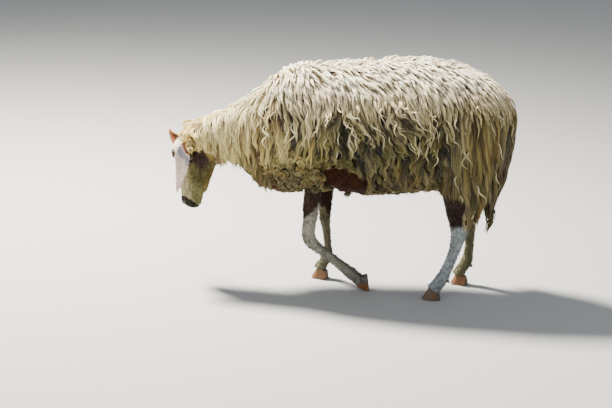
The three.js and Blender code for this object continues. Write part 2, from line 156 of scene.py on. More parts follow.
# Legs: centre x, y, z, half size fore and aft, half size to the side
LEGS = {
    "fore_left": [
        (-92, -80, 420, 52, 40),
        (-99, -78, 350, 36, 30),
        (-104, -75, 300, 28, 24),
        (-107, -71, 262, 23.5, 21),
        (-112, -67, 228, 22, 20.5),
        (-112, -63, 205, 22.5, 21),
        (-105, -59, 185, 22, 20),
        (-86, -54, 164, 18.5, 17),
        (-60, -49, 142, 16, 15.5),
        (-30, -44, 118, 16, 15.5),
        (2, -39, 91, 18, 17.5),
        (24, -36, 72, 20.5, 20),
        (41, -34, 58, 20, 19.5),
        (54, -33, 47, 20.5, 21),
        (63, -32, 39, 20, 21),
    ],
    "fore_right": [
        (-66, 80, 420, 50, 38),
        (-60, 80, 350, 36, 29),
        (-57, 80, 295, 26, 23),
        (-57, 80, 252, 20.5, 20.5),
        (-58, 80, 228, 20, 21),
        (-55, 81, 204, 16.5, 17.5),
        (-51, 82, 168, 13.5, 14.5),
        (-48, 83, 132, 13.5, 14.5),
        (-48, 84, 110, 17, 17.5),
        (-52, 85, 93, 19.5, 19.5),
        (-61, 85, 75, 17.5, 19),
        (-71, 85, 60, 20, 22),
        (-76, 85, 52, 21, 22),
    ],
    "hind_left": [
        (412, -108, 652, 26, 26),
        (408, -110, 610, 62, 56),
        (402, -110, 545, 88, 76),
        (397, -108, 470, 93, 84),
        (392, -106, 400, 88, 84),
        (379, -104, 345, 78, 74),
        (372, -101, 308, 58, 54),
        (368, -99, 278, 45, 37),
        (367, -98, 248, 34, 26),
        (367, -97, 222, 28, 21.5),
        (361, -96, 196, 23.5, 19),
        (354, -96, 165, 19.5, 17),
        (343, -95, 132, 18, 16),
        (329, -95, 98, 18.5, 17.5),
        (319, -95, 76, 21, 20),
        (306, -95, 57, 20.5, 20),
        (295, -95, 42, 22, 23),
        (289, -95, 34, 23, 23),
    ],
    "hind_right": [
        (416, 108, 652, 26, 26),
        (412, 110, 610, 60, 56),
        (406, 110, 545, 86, 76),
        (401, 108, 470, 90, 84),
        (398, 106, 400, 84, 84),
        (399, 104, 345, 67, 74),
        (403, 101, 308, 50, 54),
        (409, 99, 278, 40, 37),
        (416, 98, 248, 31, 26),
        (419, 97, 222, 27, 21.5),
        (420, 96, 198, 22, 19),
        (423, 96, 170, 17, 17),
        (421, 95, 132, 15.5, 16),
        (418, 95, 96, 17, 17.5),
        (412, 95, 73, 20, 19.5),
        (401, 95, 54, 18.5, 19.5),
        (391, 95, 37, 20.5, 22),
        (386, 95, 28, 21, 22),
    ],
}

# One claw, sole down and toe forward
CLAW = {"length": 62, "width": 23, "toe": 37, "heel": 24, "flare": 0.84, "split": 1.2}
# Each foot, once pitched: toe x, y of the cleft, z, turn of the sole about Y in degrees
FEET = {
    "fore_left": ((86, -32, -7.6), -98),
    "fore_right": ((-107, 85, 0), 0),
    "hind_left": ((249, -95, 0), 0),
    "hind_right": ((357, 95, 0), 0),
}
DEWCLAW = {"length": 15, "radius": 6, "apart": 11}
DEWCLAWS = {
    "fore_left": ((37, -36, 83), (0.75, 0, 0.5)),
    "fore_right": ((-34, 85, 81), (0.75, 0, -0.65)),
    "hind_left": ((336, -95, 62), (0.75, 0, -0.65)),
    "hind_right": ((429, 95, 60), (0.75, 0, -0.65)),
}
UDDER = {"at": (384, 0, 322), "half": (50, 42, 36), "teat": (9, 9, 17), "apart": 24, "forward": 16}

# Depth of the coat between the skin and the solids' outline
SHORT_COAT = 1.6
TRUNK_COAT = {"top": 27, "side": 34, "bottom": 26}
NECK_COAT = 24
TAIL_CORE = 0.42                     # share of the woolled tail that is skin

# ---------------------------------------------------------------- small helpers


def unit(v):
    """Vectors of length one, along the last axis."""
    v = np.asarray(v, float)
    return v / np.maximum(np.linalg.norm(v, axis=-1, keepdims=True), 1e-9)


def dot(a, b):
    return (a * b).sum(-1)


def ease(x, low, high):
    """0 below `low`, 1 above `high`, and a smooth step between."""
    t = np.clip((x - low) / (high - low), 0, 1)
    return t * t * (3 - 2 * t)


def fade(x, low, high):
    """1 below `low`, 0 above `high`, and a smooth step between."""
    return 1 - ease(x, low, high)


def smooth_rows(rows, count):
    """Rows of numbers, resampled along a smooth curve through them."""
    rows = np.array(rows, float)
    last = len(rows) - 1
    position = np.linspace(0, last, count)
    i = np.minimum(position.astype(int), last - 1)
    t = (position - i)[:, None]
    a, b, c, d = (rows[np.clip(i + step, 0, last)] for step in (-1, 0, 1, 2))
    curve = 2 * a - 5 * b + 4 * c - d
    return b + 0.5 * t * (c - a + t * (curve + t * (3 * (b - c) + d - a)))


def ripples(p, size, seed, layers=5):
    """A smooth random field, about -1 to 1, whose bumps are about `size` across."""
    rng = np.random.default_rng(seed)
    total = np.zeros(len(p))
    for _ in range(layers):
        wave = unit(rng.normal(size=3)) * 2 * math.pi / (size * rng.uniform(1.5, 3.0))
        total += np.sin(p @ wave + rng.uniform(0, 2 * math.pi))
    return total / layers * 1.6


def near_box(p, low, high):
    """Which points lie inside a box."""
    return np.all((p > np.array(low)) & (p < np.array(high)), axis=1)


def join_fields(a, b, blend):
    """The nearer of two surfaces, with the crease between them filled."""
    h = np.maximum(blend - np.abs(a - b), 0) / blend
    return np.minimum(a, b) - h * h * blend / 4


def cut_field(a, hole, blend):
    """Surface a with a hole taken out and the rim rounded."""
    return -join_fields(-a, hole, blend)


LEVEL = np.array([math.cos(HEAD_TURN), math.sin(HEAD_TURN), 0])
UP = np.array([0.0, 0.0, 1.0])
HEAD_AXES = np.array([
    LEVEL * math.sin(HEAD_LEAN) - UP * math.cos(HEAD_LEAN),
    LEVEL * math.cos(HEAD_LEAN) + UP * math.sin(HEAD_LEAN),
    (math.sin(HEAD_TURN), -math.cos(HEAD_TURN), 0),
])


def on_head(place):
    """A place given along the bridge, behind the forehead and to the side."""
    return POLL + np.asarray(place, float) @ HEAD_AXES


def pitched(p):
    c, s = math.cos(PITCH), math.sin(PITCH)
    q = np.asarray(p, float) - PITCH_CENTRE
    x, z = q[..., 0] * c - q[..., 2] * s, q[..., 0] * s + q[..., 2] * c
    return np.stack([x, q[..., 1], z], -1) + PITCH_CENTRE


low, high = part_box("eye_left")
FRAME_SHIFT = np.array((low + high) / 2) / MM - pitched(on_head(EYE))
FRAME_SHIFT[1:] = 0


def placed(p):
    """Drawn millimetres to metres in the frame."""
    return (pitched(p) + FRAME_SHIFT) * MM


def drawn(p):
    """Metres in the frame back to drawn millimetres."""
    q = np.asarray(p, float) / MM - FRAME_SHIFT - PITCH_CENTRE
    c, s = math.cos(PITCH), math.sin(PITCH)
    x, z = q[..., 0] * c + q[..., 2] * s, -q[..., 0] * s + q[..., 2] * c
    return np.stack([x, q[..., 1], z], -1) + PITCH_CENTRE


# ---------------------------------------------------------------- fields of the bare body
# Each gives the distance in millimetres from points to a surface, negative inside.

FAR = 400.0


def radial_distance(across, along, half_across, half_along, power):
    """Distance to an oval ring, measured from its centre."""
    reach = np.hypot(across, along) + 1e-6
    share = (np.abs(across / half_across) ** power + np.abs(along / half_along) ** power)
    return reach * (1 - 1 / np.maximum(share ** (1 / power), 1e-4))


LIMB_REACH = 26                      # a limb's field is worked out this far from it


class Limb:
    """A tube of oval rings, square to a smooth path."""

    def __init__(self, rows, rings, coat=0, facing=None):
        rows = smooth_rows(rows, rings)
        self.centre = rows[:, :3]
        self.half = np.maximum(rows[:, 3:5] - np.broadcast_to(coat, (rings,))[:, None], 1.2)
        before = self.centre[np.maximum(np.arange(rings) - 1, 0)]
        after = self.centre[np.minimum(np.arange(rings) + 1, rings - 1)]
        self.along = unit(after - before)
        if facing is None:
            side = np.array([0.0, -1.0, 0.0])
            self.side = unit(side - self.along * dot(self.along, side)[:, None])
            self.out = np.cross(self.side, self.along)
        else:
            facing = unit(facing)
            self.out = unit(facing - self.along * dot(self.along, facing)[:, None])
            self.side = np.cross(self.along, self.out)
        margin = self.half.max() + LIMB_REACH
        self.low, self.high = self.centre.min(0) - margin, self.centre.max(0) + margin

    def locate(self, p):
        """For each point: ring number with its fraction, and its offset from the path."""
        start, step = self.centre[:-1], np.diff(self.centre, axis=0)
        place, offset = np.empty(len(p)), np.empty((len(p), 3))
        size = dot(step, step)
        for chunk in np.array_split(np.arange(len(p)), max(1, len(p) // 60000)):
            d = p[chunk, None, :] - start[None]
            t = np.clip((d * step).sum(-1) / size, 0, 1)
            d -= t[..., None] * step
            best = (d * d).sum(-1).argmin(1)
            row = np.arange(len(chunk))
            place[chunk] = best + t[row, best]
            offset[chunk] = d[row, best]
        return place, offset

    def at(self, values, place):
        """A value kept for each ring, read between the rings."""
        i = np.minimum(place.astype(int), len(values) - 2)
        t = place - i
        t = t[:, None] if values.ndim > 1 else t
        return values[i] * (1 - t) + values[i + 1] * t

    def local(self, p):
        place, offset = self.locate(p)
        side, out = unit(self.at(self.side, place)), unit(self.at(self.out, place))
        beyond = (place < 1e-3) | (place > len(self.centre) - 1.001)
        along = np.abs(dot(offset, np.cross(side, out))) * beyond
        return place, dot(offset, side), dot(offset, out), along

    def field(self, p):
        value = np.full(len(p), FAR)
        close = near_box(p, self.low, self.high)
        if close.any():
            place, across, out, along = self.local(p[close])
            half = self.at(self.half, place)
            ring = radial_distance(across, out, half[:, 1], half[:, 0], 2)
            value[close] = np.where(along > 0.5, np.hypot(np.maximum(ring, 0), along), ring)
        return value


class Ear(Limb):
    """A thin leaf with round rims, bent into a gutter."""

    def field(self, p):
        value = np.full(len(p), FAR)
        close = near_box(p, self.low, self.high)
        if close.any():
            place, across, out, along = self.local(p[close])
            width, thick = self.at(self.half, place).T
            bend = EAR_CUP * width * np.minimum(1, (len(self.centre) - 1 - place) / 8)
            out = out - bend * (np.minimum((across / width) ** 2, 1.3) - 0.5)
            thick = np.maximum(thick * 0.85, 2.1)
            rim = np.maximum(np.abs(across) - np.maximum(width - thick, 0.3), 0)
            value[close] = np.sqrt(rim ** 2 + out ** 2 + along ** 2) - thick
        return value


def ball(q, centre, half):
    """Distance to an ellipsoid, from points in the same axes."""
    d = (q - np.asarray(centre, float)) / np.asarray(half, float)
    share = np.linalg.norm(d, axis=1)
    return (share - 1) * share / np.maximum(np.linalg.norm(d / np.asarray(half, float), axis=1), 1e-6)


def rod(q, start, end, radius):
    """Distance to a round-ended rod."""
    start, end = np.asarray(start, float), np.asarray(end, float)
    t = np.clip((q - start) @ (end - start) / dot(end - start, end - start), 0, 1)
    return np.linalg.norm(q - start - t[:, None] * (end - start), axis=1) - radius


HIND_COAT = np.interp(smooth_rows(LEGS["hind_left"], 36)[::-1, 2],
                      (34, 215, 250, 300, 352, 410, 650), (SHORT_COAT, 2, 3, 4, 8, 26, 20))[::-1]
FORE_COAT = np.interp(smooth_rows(LEGS["fore_left"], 30)[::-1, 2],
                      (34, 300, 345, 420), (SHORT_COAT, 2, 9, 16))[::-1]
LIMBS = {
    "fore_left": Limb(LEGS["fore_left"], 30, FORE_COAT),
    "fore_right": Limb(LEGS["fore_right"], 30, FORE_COAT),
    "hind_left": Limb(LEGS["hind_left"], 36, HIND_COAT),
    "hind_right": Limb(LEGS["hind_right"], 36, HIND_COAT),
}
NECK_LIMB = Limb(NECK, 12, NECK_COAT)
TAIL_ROWS = [(x, y, z, a * TAIL_CORE, b * TAIL_CORE) for x, y, z, a, b in TAIL[:-2]]
TAIL_LIMB = Limb(TAIL_ROWS, 20)
EARS = {
    "ear_left": Ear(EAR_LEFT, 28, 0, FACING["ear_left"]),
    "ear_right": Ear(EAR_RIGHT, 28, 0, FACING["ear_right"]),
}


BARREL_FINE = smooth_rows(BARREL, 120)
# The bare patch of the belly behind the elbow, where smooth hair takes the wool's place
BARE_PATCH = {"centre": (6, -150, 398), "half": (76, 60, 44), "lean": 0.5}


def bare_patch(p, soft=0):
    """1 on the bare patch of the left side, 0 in the wool; `soft` widens its rim."""
    d = p - np.array(BARE_PATCH["centre"])
    lean = BARE_PATCH["lean"]
    along = d[:, 0] * math.cos(lean) - d[:, 2] * math.sin(lean)
    up = d[:, 0] * math.sin(lean) + d[:, 2] * math.cos(lean)
    half = BARE_PATCH["half"]
    reach = np.sqrt((along / half[0]) ** 2 + (up / half[2]) ** 2)
    reach = reach + 0.13 * ripples(p, 26, 91)
    return fade(reach, 0.85 - soft / 2, 1.05 + soft) * ease(-p[:, 1], 40, 80)


def barrel_field(p, coat=TRUNK_COAT):
    x = p[:, 0]
    top, widest, bottom, half = (np.interp(x, BARREL_FINE[:, 0], BARREL_FINE[:, i])
                                 for i in (1, 2, 3, 4))
    thinner = 1 - 0.86 * bare_patch(p, 0.5)
    above = p[:, 2] > widest
    rise = np.where(above, top - widest - coat["top"], widest - bottom - coat["bottom"] * thinner)
    ring = radial_distance(p[:, 1], p[:, 2] - widest, np.maximum(half - coat["side"] * thinner, 6),
                           np.maximum(rise, 6), BARREL_SQUARENESS)
    first, last = BARREL_FINE[0, 0] + coat["side"], BARREL_FINE[-1, 0] - coat["side"]
    return np.maximum(ring, np.maximum(first - x, x - last))


SKULL_FINE = smooth_rows(SKULL, 90)


def skull_field(q):
    """The bare skull with its skin; q is in head axes."""
    along = q[:, 0]
    near, far, half, power = (np.interp(along, SKULL_FINE[:, 0], SKULL_FINE[:, i])
                              for i in (1, 2, 3, 4))
    ring = radial_distance(q[:, 2], q[:, 1] - (near + far) / 2, half - SHORT_COAT,
                           (far - near) / 2 - SHORT_COAT, power)
    return np.maximum(ring, np.maximum(SKULL_FINE[0, 0] - along, along - SKULL_FINE[-1, 0]))


def eye_axes(q, side):
    """Points on one side of the head, about its eye: length, height and outward."""
    d = q * (1, 1, side) - np.array(EYE)
    c, s = math.cos(EYE_OPENING["turn"]), math.sin(EYE_OPENING["turn"])
    return np.stack([d[:, 0] * c - d[:, 1] * s, d[:, 0] * s + d[:, 1] * c, d[:, 2]], 1)


def head_field(p):
    q = (p - POLL) @ HEAD_AXES.T
    value = skull_field(q)
    for side in (-1, 1):
        def at(along, depth, out):
            return (along, depth, side * out)

        # chewing muscle, hollow before it, ridge under the eye, jaw
        value = join_fields(value, ball(q, at(92, 96, 34), (40, 34, 19.5)), 12)
        value = cut_field(value, ball(q, at(158, 62, 47), (34, 20, 12)), 14)
        value = join_fields(value, rod(q, at(96, 54, 44), at(150, 47, 31), 7), 9)
        value = join_fields(value, rod(q, at(120, 112, 16), at(205, 68, 15), 9), 10)
        # brow, muzzle wing, lips
        value = join_fields(value, ball(q, at(EYE[0], EYE[1] - 2, 42), (25, 22, 17)), 9)
        value = join_fields(value, rod(q, at(62, 12, 34), at(84, 9, 38), 9), 8)
        value = join_fields(value, ball(q, at(233, 8, 17), (15, 12, 9.5)), 7)
        value = join_fields(value, rod(q, at(222, 37, 21), at(250, 35, 8), 6.5), 5)
        value = join_fields(value, rod(q, at(224, 51, 18), at(247, 47, 7), 5.5), 4)
        # lids round the eye, with an almond opening
        eye = eye_axes(q, side)
        reach = np.linalg.norm(eye, axis=1)
        value = join_fields(value, reach - EYE_RADIUS - LID_THICKNESS, 5)
        length, height = EYE_OPENING["half_length"], EYE_OPENING["half_height"]
        crease = np.abs(reach - EYE_RADIUS - LID_THICKNESS - 0.6) - 0.4
        ring = np.hypot(eye[:, 0] / (length + 5.5), eye[:, 1] / (height + 5.5))
        crease = np.maximum(crease, (np.abs(ring - 1) - 0.06) * 12)
        value = cut_field(value, np.where(eye[:, 2] > 4, crease, FAR), 1.6)
        value = cut_field(value, reach - EYE_RADIUS - 0.25, 0.6)
        almond = (np.abs(eye[:, 0]) / length) ** 2 + np.abs(eye[:, 1]) / height
        almond = (almond - 1) * height * 0.7
        almond = np.maximum(almond, np.maximum(3 - eye[:, 2], eye[:, 2] - 40))
        value = cut_field(value, almond, 1.4)
        # tear groove, nostril, corner of the mouth
        value = cut_field(value, rod(q, at(98, 36, 52), at(110, 42, 47), 1.8), 2.5)
        value = cut_field(value, rod(q, at(243, 6, 9), at(233, 2, 20), 3.4), 2.4)
        value = cut_field(value, rod(q, at(234, 2, 21), at(224, 8, 26), 2.0), 2)
    slit = np.maximum(np.abs(q[:, 1] - 43.7 - 0.05 * np.maximum(236 - q[:, 0], 0)) - 0.7, 222 - q[:, 0])
    inner = skull_field(q) + 5
    value = cut_field(value, np.maximum(slit, -inner), 1.6)
    value = cut_field(value, rod(q, (246, 0, 0), (264, 40, 0), 2.2), 2.5)
    return value


def udder_field(p):
    at, half = np.array(UDDER["at"], float), np.array(UDDER["half"], float) - SHORT_COAT
    value = ball(p, at, half)
    groove = rod(p, at + (-60, 0, -46), at + (60, 0, -46), 12)
    value = cut_field(value, groove, 10)
    for side in (-1, 1):
        root = at + (-UDDER["forward"], side * UDDER["apart"], 4 - UDDER["half"][2])
        value = join_fields(value, ball(p, root, np.array(UDDER["teat"]) - 1.0), 8)
    return value


def part_fields(p):
    """Distance to every part of the bare body."""
    parts = {"trunk": barrel_field(p), "neck": NECK_LIMB.field(p), "tail": TAIL_LIMB.field(p)}
    parts.update({name: limb.field(p) for name, limb in LIMBS.items()})
    parts.update({name: ear.field(p) for name, ear in EARS.items()})
    for name, call, low, high in (
        ("head", head_field, (-700, -190, 180), (-330, 160, 640)),
        ("udder", udder_field, (290, -110, 220), (480, 110, 420)),
    ):
        value = np.full(len(p), FAR)
        close = near_box(p, low, high)
        if close.any():
            value[close] = call(p[close])
        parts[name] = value
    return parts


BLENDS = {"neck": 40, "head": 24, "tail": 14, "fore_left": 16, "fore_right": 16, "hind_left": 18,
          "hind_right": 18, "udder": 12, "ear_left": 5, "ear_right": 5}


def body_field(p, parts=None):
    """Distance to the whole skin: every part, blended where they meet."""
    parts = parts or part_fields(p)
    value = parts["trunk"]
    for name, blend in BLENDS.items():
        value = join_fields(value, parts[name], blend)
    return value


def gradient(p, step=2.0):
    """Outward direction of the skin at points."""
    slopes = [body_field(p + e) - body_field(p - e) for e in np.eye(3) * step]
    return unit(np.stack(slopes, 1))


# ---------------------------------------------------------------- one skin over the fields

# Grid lines, closer together at the head and feet: (from, to, spacing)
FINE = 1.0
GRID = (
    ((-606, -440, 2.0), (-440, 556, 3.0)),
    ((-212, 212, 2.5),),
    ((6, 252, 3.0), (252, 552, 2.2), (552, 780, 3.6)),
)
BLOCK = 6                            # grid steps between the points of the first, rough pass
BLOCK_REACH = 21                     # how near the skin a block's middle is, if it may hold some


def grid_lines(spans):
    lines = [np.arange(start, stop, space * FINE) for start, stop, space in spans]
    return np.concatenate(lines + [[spans[-1][1]]])


def sampled_body(lines):
    """The body's field on the grid, worked out in full only near the skin."""
    shape = np.array([len(line) for line in lines])
    middles = [line[np.minimum(np.arange(BLOCK // 2, len(line) + BLOCK // 2, BLOCK), len(line) - 1)]
               for line in lines]
    mesh = np.stack(np.meshgrid(*middles, indexing="ij"), -1).reshape(-1, 3)
    rough = body_field(mesh).reshape([len(m) for m in middles])
    value = rough.repeat(BLOCK, 0).repeat(BLOCK, 1).repeat(BLOCK, 2)
    value = np.ascontiguousarray(value[:shape[0], :shape[1], :shape[2]]).astype(np.float32)
    blocks = np.argwhere(np.abs(rough) < BLOCK_REACH * FINE) * BLOCK
    steps = np.stack(np.meshgrid(*[np.arange(BLOCK)] * 3, indexing="ij"), -1).reshape(-1, 3)
    index = (blocks[:, None, :] + steps[None]).reshape(-1, 3)
    index = index[np.all(index < shape, axis=1)]
    for chunk in np.array_split(index, max(1, len(index) // 400000)):
        points = np.stack([lines[axis][chunk[:, axis]] for axis in range(3)], 1)
        value[chunk[:, 0], chunk[:, 1], chunk[:, 2]] = body_field(points)
    return value


def surface_net(value, lines):
    """A closed quad mesh through the zero level of a field on a grid."""
    inside = value < 0
    shape = np.array(value.shape) - 1
    corners = [(i, j, k) for i in (0, 1) for j in (0, 1) for k in (0, 1)]

    def shifted(array, corner):
        return array[tuple(slice(c, c + n) for c, n in zip(corner, shape))]

    total = sum(shifted(inside, corner).astype(np.uint8) for corner in corners)
    mixed = (total > 0) & (total < 8)
    cells = np.argwhere(mixed)
    number = np.full(shape, -1, np.int32)
    number[mixed] = np.arange(len(cells))

    place, hits = np.zeros((len(cells), 3)), np.zeros(len(cells))
    for first in corners:
        for axis in range(3):
            if first[axis]:
                continue
            second = tuple(c + (axis == a) for a, c in enumerate(first))
            ia, ib = cells + first, cells + second
            fa, fb = value[tuple(ia.T)], value[tuple(ib.T)]
            hit = (fa < 0) != (fb < 0)
            t = (fa[hit] / (fa[hit] - fb[hit]))[:, None]
            pa = np.stack([lines[a][ia[hit, a]] for a in range(3)], 1)
            pb = np.stack([lines[a][ib[hit, a]] for a in range(3)], 1)
            place[hit] += pa + t * (pb - pa)
            hits[hit] += 1
    place /= hits[:, None]

    quads = []
    for axis in range(3):
        others = [a for a in range(3) if a != axis]
        head, tail = [slice(None)] * 3, [slice(None)] * 3
        head[axis], tail[axis] = slice(0, -1), slice(1, None)
        crossing = inside[tuple(head)] != inside[tuple(tail)]
        where = np.argwhere(crossing)
        where = where[np.all(where[:, others] > 0, axis=1)]
        where = where[np.all(where < shape, axis=1)]
        corner = []
        for da, db in ((1, 1), (0, 1), (0, 0), (1, 0)):
            cell = where.copy()
            cell[:, others[0]] -= da
            cell[:, others[1]] -= db
            corner.append(number[tuple(cell.T)])
        quad = np.stack(corner, 1)
        flip = inside[tuple(where.T)] != (axis == 1)
        quad[~flip] = quad[~flip][:, ::-1]
        quads.append(quad)
    return place, np.concatenate(quads)


def new_object(name, data):
    obj = bpy.data.objects.new(name, data)
    bpy.context.scene.collection.objects.link(obj)
    return obj


def new_mesh(name, points, faces):
    """A mesh object from drawn points and an array of equal faces, or a list of such arrays."""
    faces = faces if isinstance(faces, list) else [faces]
    mesh = bpy.data.meshes.new(name)
    mesh.vertices.add(len(points))
    mesh.vertices.foreach_set("co", placed(points).astype(np.float32).ravel())
    loops = np.concatenate([f.ravel() for f in faces]).astype(np.int32)
    sizes = np.concatenate([np.full(len(f), f.shape[1]) for f in faces])
    starts = np.concatenate([[0], np.cumsum(sizes)[:-1]]).astype(np.int32)
    mesh.loops.add(len(loops))
    mesh.loops.foreach_set("vertex_index", loops)
    mesh.polygons.add(len(starts))
    mesh.polygons.foreach_set("loop_start", starts)
    mesh.update(calc_edges=True)
    mesh.polygons.foreach_set("use_smooth", np.full(len(starts), True))
    return new_object(name, mesh)


def as_plain_mesh(obj):
    """The object with its modifiers worked in."""
    evaluated = obj.evaluated_get(bpy.context.evaluated_depsgraph_get())
    mesh = bpy.data.meshes.new_from_object(evaluated)
    obj.modifiers.clear()
    old = obj.data
    obj.data = mesh
    bpy.data.meshes.remove(old)
    mesh.name = obj.name
    return obj


def drawn_points(obj):
    co = np.empty(len(obj.data.vertices) * 3, np.float32)
    obj.data.vertices.foreach_get("co", co)
    return drawn(co.reshape(-1, 3))


SKIN_LIMIT = 150000                  # triangles of the finished skin


def fine_part(p):
    """1 where the skin shows and stays fine, 0 under the wool."""
    head = ease(-p[:, 0], 425, 445)
    leg = fade(p[:, 2], 300, 330)
    return np.maximum(np.maximum(head, leg), bare_patch(p))


def skin_object():
    lines = [grid_lines(spans) for spans in GRID]
    points, quads = surface_net(sampled_body(lines), lines)
    skin = new_mesh("skin", points, quads)
    group = skin.vertex_groups.new(name="hidden")
    hidden = 1 - fine_part(points)
    for level in np.unique(np.round(hidden, 1)):
        chosen = np.flatnonzero(np.round(hidden, 1) == level)
        if level > 0:
            group.add(chosen.tolist(), float(level), "REPLACE")
    thin = skin.modifiers.new("thin", "DECIMATE")
    thin.ratio = min(1.0, SKIN_LIMIT / (2 * len(quads)))
    thin.vertex_group = "hidden"
    thin.use_collapse_triangulate = True
    as_plain_mesh(skin)
    skin.vertex_groups.clear()
    return skin


skin = skin_object()

# ---------------------------------------------------------------- markings
# One set of colours for the skin and for the coat that grows on it.


def paint(text):
    """A written colour as linear light."""
    value = np.array([int(text[i:i + 2], 16) for i in (0, 2, 4)]) / 255
    return np.where(value < 0.04045, value / 12.92, ((value + 0.055) / 1.055) ** 2.4)


# Some of these colours hold painted light: the face colours are white hair in painted shade, the cheek's
# dark brown is partly a brown patch and partly painted shade, the brow's white is a painted highlight, the
# green-grey of the lower wool and the far legs is painted shade, the blue-grey of the ear is painted
# shade, the dark ear brown is partly painted shade and the leg greys are partly painted shade.
SHADES = {name: paint(text) for name, text in {
    "white": "fbefd2", "cream": "e8d5ac", "straw": "c8b074", "olive_shade": "6f6838", "ochre": "6b5626",
    "stray": "f0dfb0", "rust": "a9642a", "umber": "482d19", "grey_wool": "8f8a62",
    "face": "77734a", "nose": "b9ac88", "cheek": "3d2f29", "cheek_olive_shade": "57502e",
    "brow": "e3dccd", "eye_rim": "38231b", "jaw": "8f6f3a", "lip": "0b0908",
    "ear_white": "efdccd", "ear_shade": "83879a", "ear_pink": "d6a48c", "ear_brown": "94592a",
    "ear_shaded_brown": "57300f", "leg": "959284", "leg_grey": "4f4b41", "leg_blue": "92999b",
    "brown": "26130a", "patch": "3a1a09", "udder": "b88d79", "amber": "573511",
    "iris_rim": "2d1c0f", "pupil": "07080c", "horn": "7f5831", "horn_dark": "5a3a20",
    "sole": "45413d",
}.items()}


def blend(a, b, share):
    share = np.asarray(share, float)[..., None]
    return a * (1 - share) + b * share


def shade(name, count):
    return np.tile(SHADES[name], (count, 1))


# Where the wool ends on the head: depths behind the forehead, distance from the poll at each
HEAD_HEM = (
    (0, 22, 30, 37, 59, 73, 89, 102, 112, 140),
    (-30, -6, 10, 22, 47, 62, 73, 98, 124, 132),
)
FORE_HEM = 364                       # height at which the wool stops over the fore legs
HIND_HEM = {"front": 352, "back": 236}
# Lowest height that the tips of the wool reach at the sides: x, height
WOOL_HEM = (
    (-470, 410), (-391, 435), (-369, 450), (-318, 440), (-297, 416), (-271, 387), (-238, 358),
    (-209, 355), (-133, 367), (-44, 367), (3, 361), (50, 348), (129, 348), (207, 356),
    (254, 366), (289, 361), (305, 352), (376, 352), (386, 250), (401, 216), (425, 284),
    (445, 345), (471, 322), (486, 349), (500, 398), (523, 462), (541, 520),
)
FAR_THIGH = 20                       # how far the far thigh stands behind the near one


def wool_hem(p):
    """Height of the wool's lower edge at points: lower beneath the belly than at the sides."""
    far_thigh = FAR_THIGH * ease(p[:, 1], 20, 60) * ease(p[:, 0], 300, 340)
    far_thigh = far_thigh * fade(p[:, 2], 300, 420)
    hem = np.interp(p[:, 0] - far_thigh, *zip(*WOOL_HEM)) + far_thigh
    return hem - 0.24 * np.maximum(120 - np.abs(p[:, 1]), 0)


def nearest_part(parts):
    names = list(parts)
    return names, np.argmin(np.stack([parts[n] for n in names]), axis=0)


def by_part(parts):
    """Each part that some points are nearest to, with a mask of those points."""
    names, which = nearest_part(parts)
    for i, name in enumerate(names):
        if (which == i).any():
            yield name, which == i


def hind_hem(p, limb):
    """Height of the wool's edge on a hind leg: high in front, low behind."""
    out = limb.local(p)[2]
    return np.interp(out, (-6, 30), (HIND_HEM["front"], HIND_HEM["back"]))


def wool_share(p, parts):
    """1 where long wool grows, 0 where the hair is short."""
    share = np.zeros(len(p))
    jitter = 7 * ripples(p, 14, 11)
    for name, on in by_part(parts):
        q = p[on]
        if name in ("trunk", "neck", "tail"):
            share[on] = 1
        elif name == "head":
            place = (q - POLL) @ HEAD_AXES.T
            hem = np.interp(place[:, 1], *HEAD_HEM)
            share[on] = place[:, 0] + jitter[on] < hem
        elif name == "ear_left":
            place = EARS[name].local(q)[0]
            share[on] = place / (len(EARS[name].centre) - 1) < 0.24
        elif name.startswith("hind"):
            share[on] = q[:, 2] + jitter[on] > hind_hem(q, LIMBS[name])
        elif name.startswith("fore"):
            share[on] = q[:, 2] > FORE_HEM
    return share * (bare_patch(p) < 0.5)


def wool_colour(p):
    """Colour of the wool's outer half. It is cream wool with painted light and shade in it: near white
    over the top of the back and whiter on the neck as painted light, green-grey on the lower sides and the
    chest as painted shade.
    """
    x, _, z = p.T
    fine, broad = ripples(p, 40, 21), ripples(p, 130, 22)
    # painted shade: the lower sides are green-grey, giving way to cream higher up
    colour = blend(shade("olive_shade", len(p)), SHADES["cream"], ease(z + 30 * broad, 535, 690))
    fore = ease(-x, 10, 130) * ease(z + 24 * fine, 380, 500)
    colour = blend(colour, blend(shade("straw", len(p)), SHADES["white"], 0.5 + 0.5 * broad), fore * 0.85)
    # painted light: the top of the back is near white
    colour = blend(colour, SHADES["white"], ease(z + 20 * fine, 635, 725) * 0.95)
    colour = blend(colour, SHADES["ochre"], fade(z + 16 * broad, 345, 470) * 0.7)
    # the neck's wool is whiter, partly as painted light
    neck = ease(-x, 250, 340)
    colour = blend(colour, blend(shade("white", len(p)), SHADES["straw"], 0.35 + 0.3 * fine),
                   neck * 0.95)
    rump = ease(x, 330, 420)
    colour = blend(colour, SHADES["straw"], rump * fade(z, 520, 680) * 0.4)
    low_rear = ease(x + 12 * fine, 445, 515) * fade(z, 430, 620)
    colour = blend(colour, SHADES["umber"], low_rear * 0.75)
    tail_end = ease(x, 440, 470) * fade(z, 230, 360)
    # painted shade: the chest's wool is green-grey
    chest = fade(z + 20 * fine, 400, 480) * ease(-x, 0, 60)
    colour = blend(colour, SHADES["olive_shade"] * 0.9, chest * 0.7)
    colour = blend(colour, SHADES["grey_wool"] * 0.7, tail_end * 0.6)
    # yolk makes the lower wool yellower, and dust together with painted shade makes it darker towards the
    # bottom
    yellow = fade(z + 20 * broad, 430, 700)
    colour = colour * (1 + ease(-x, 400, 480)[:, None] * np.array([0.2, 0.1, 0.06]))
    dust_and_shade = 0.24 * fade(z, 440, 620) + 0.3 * rump * fade(z, 500, 680)
    return colour * (1 - dust_and_shade)[:, None] * (1 - yellow[:, None] * np.array([0.0, 0.02, 0.54]))


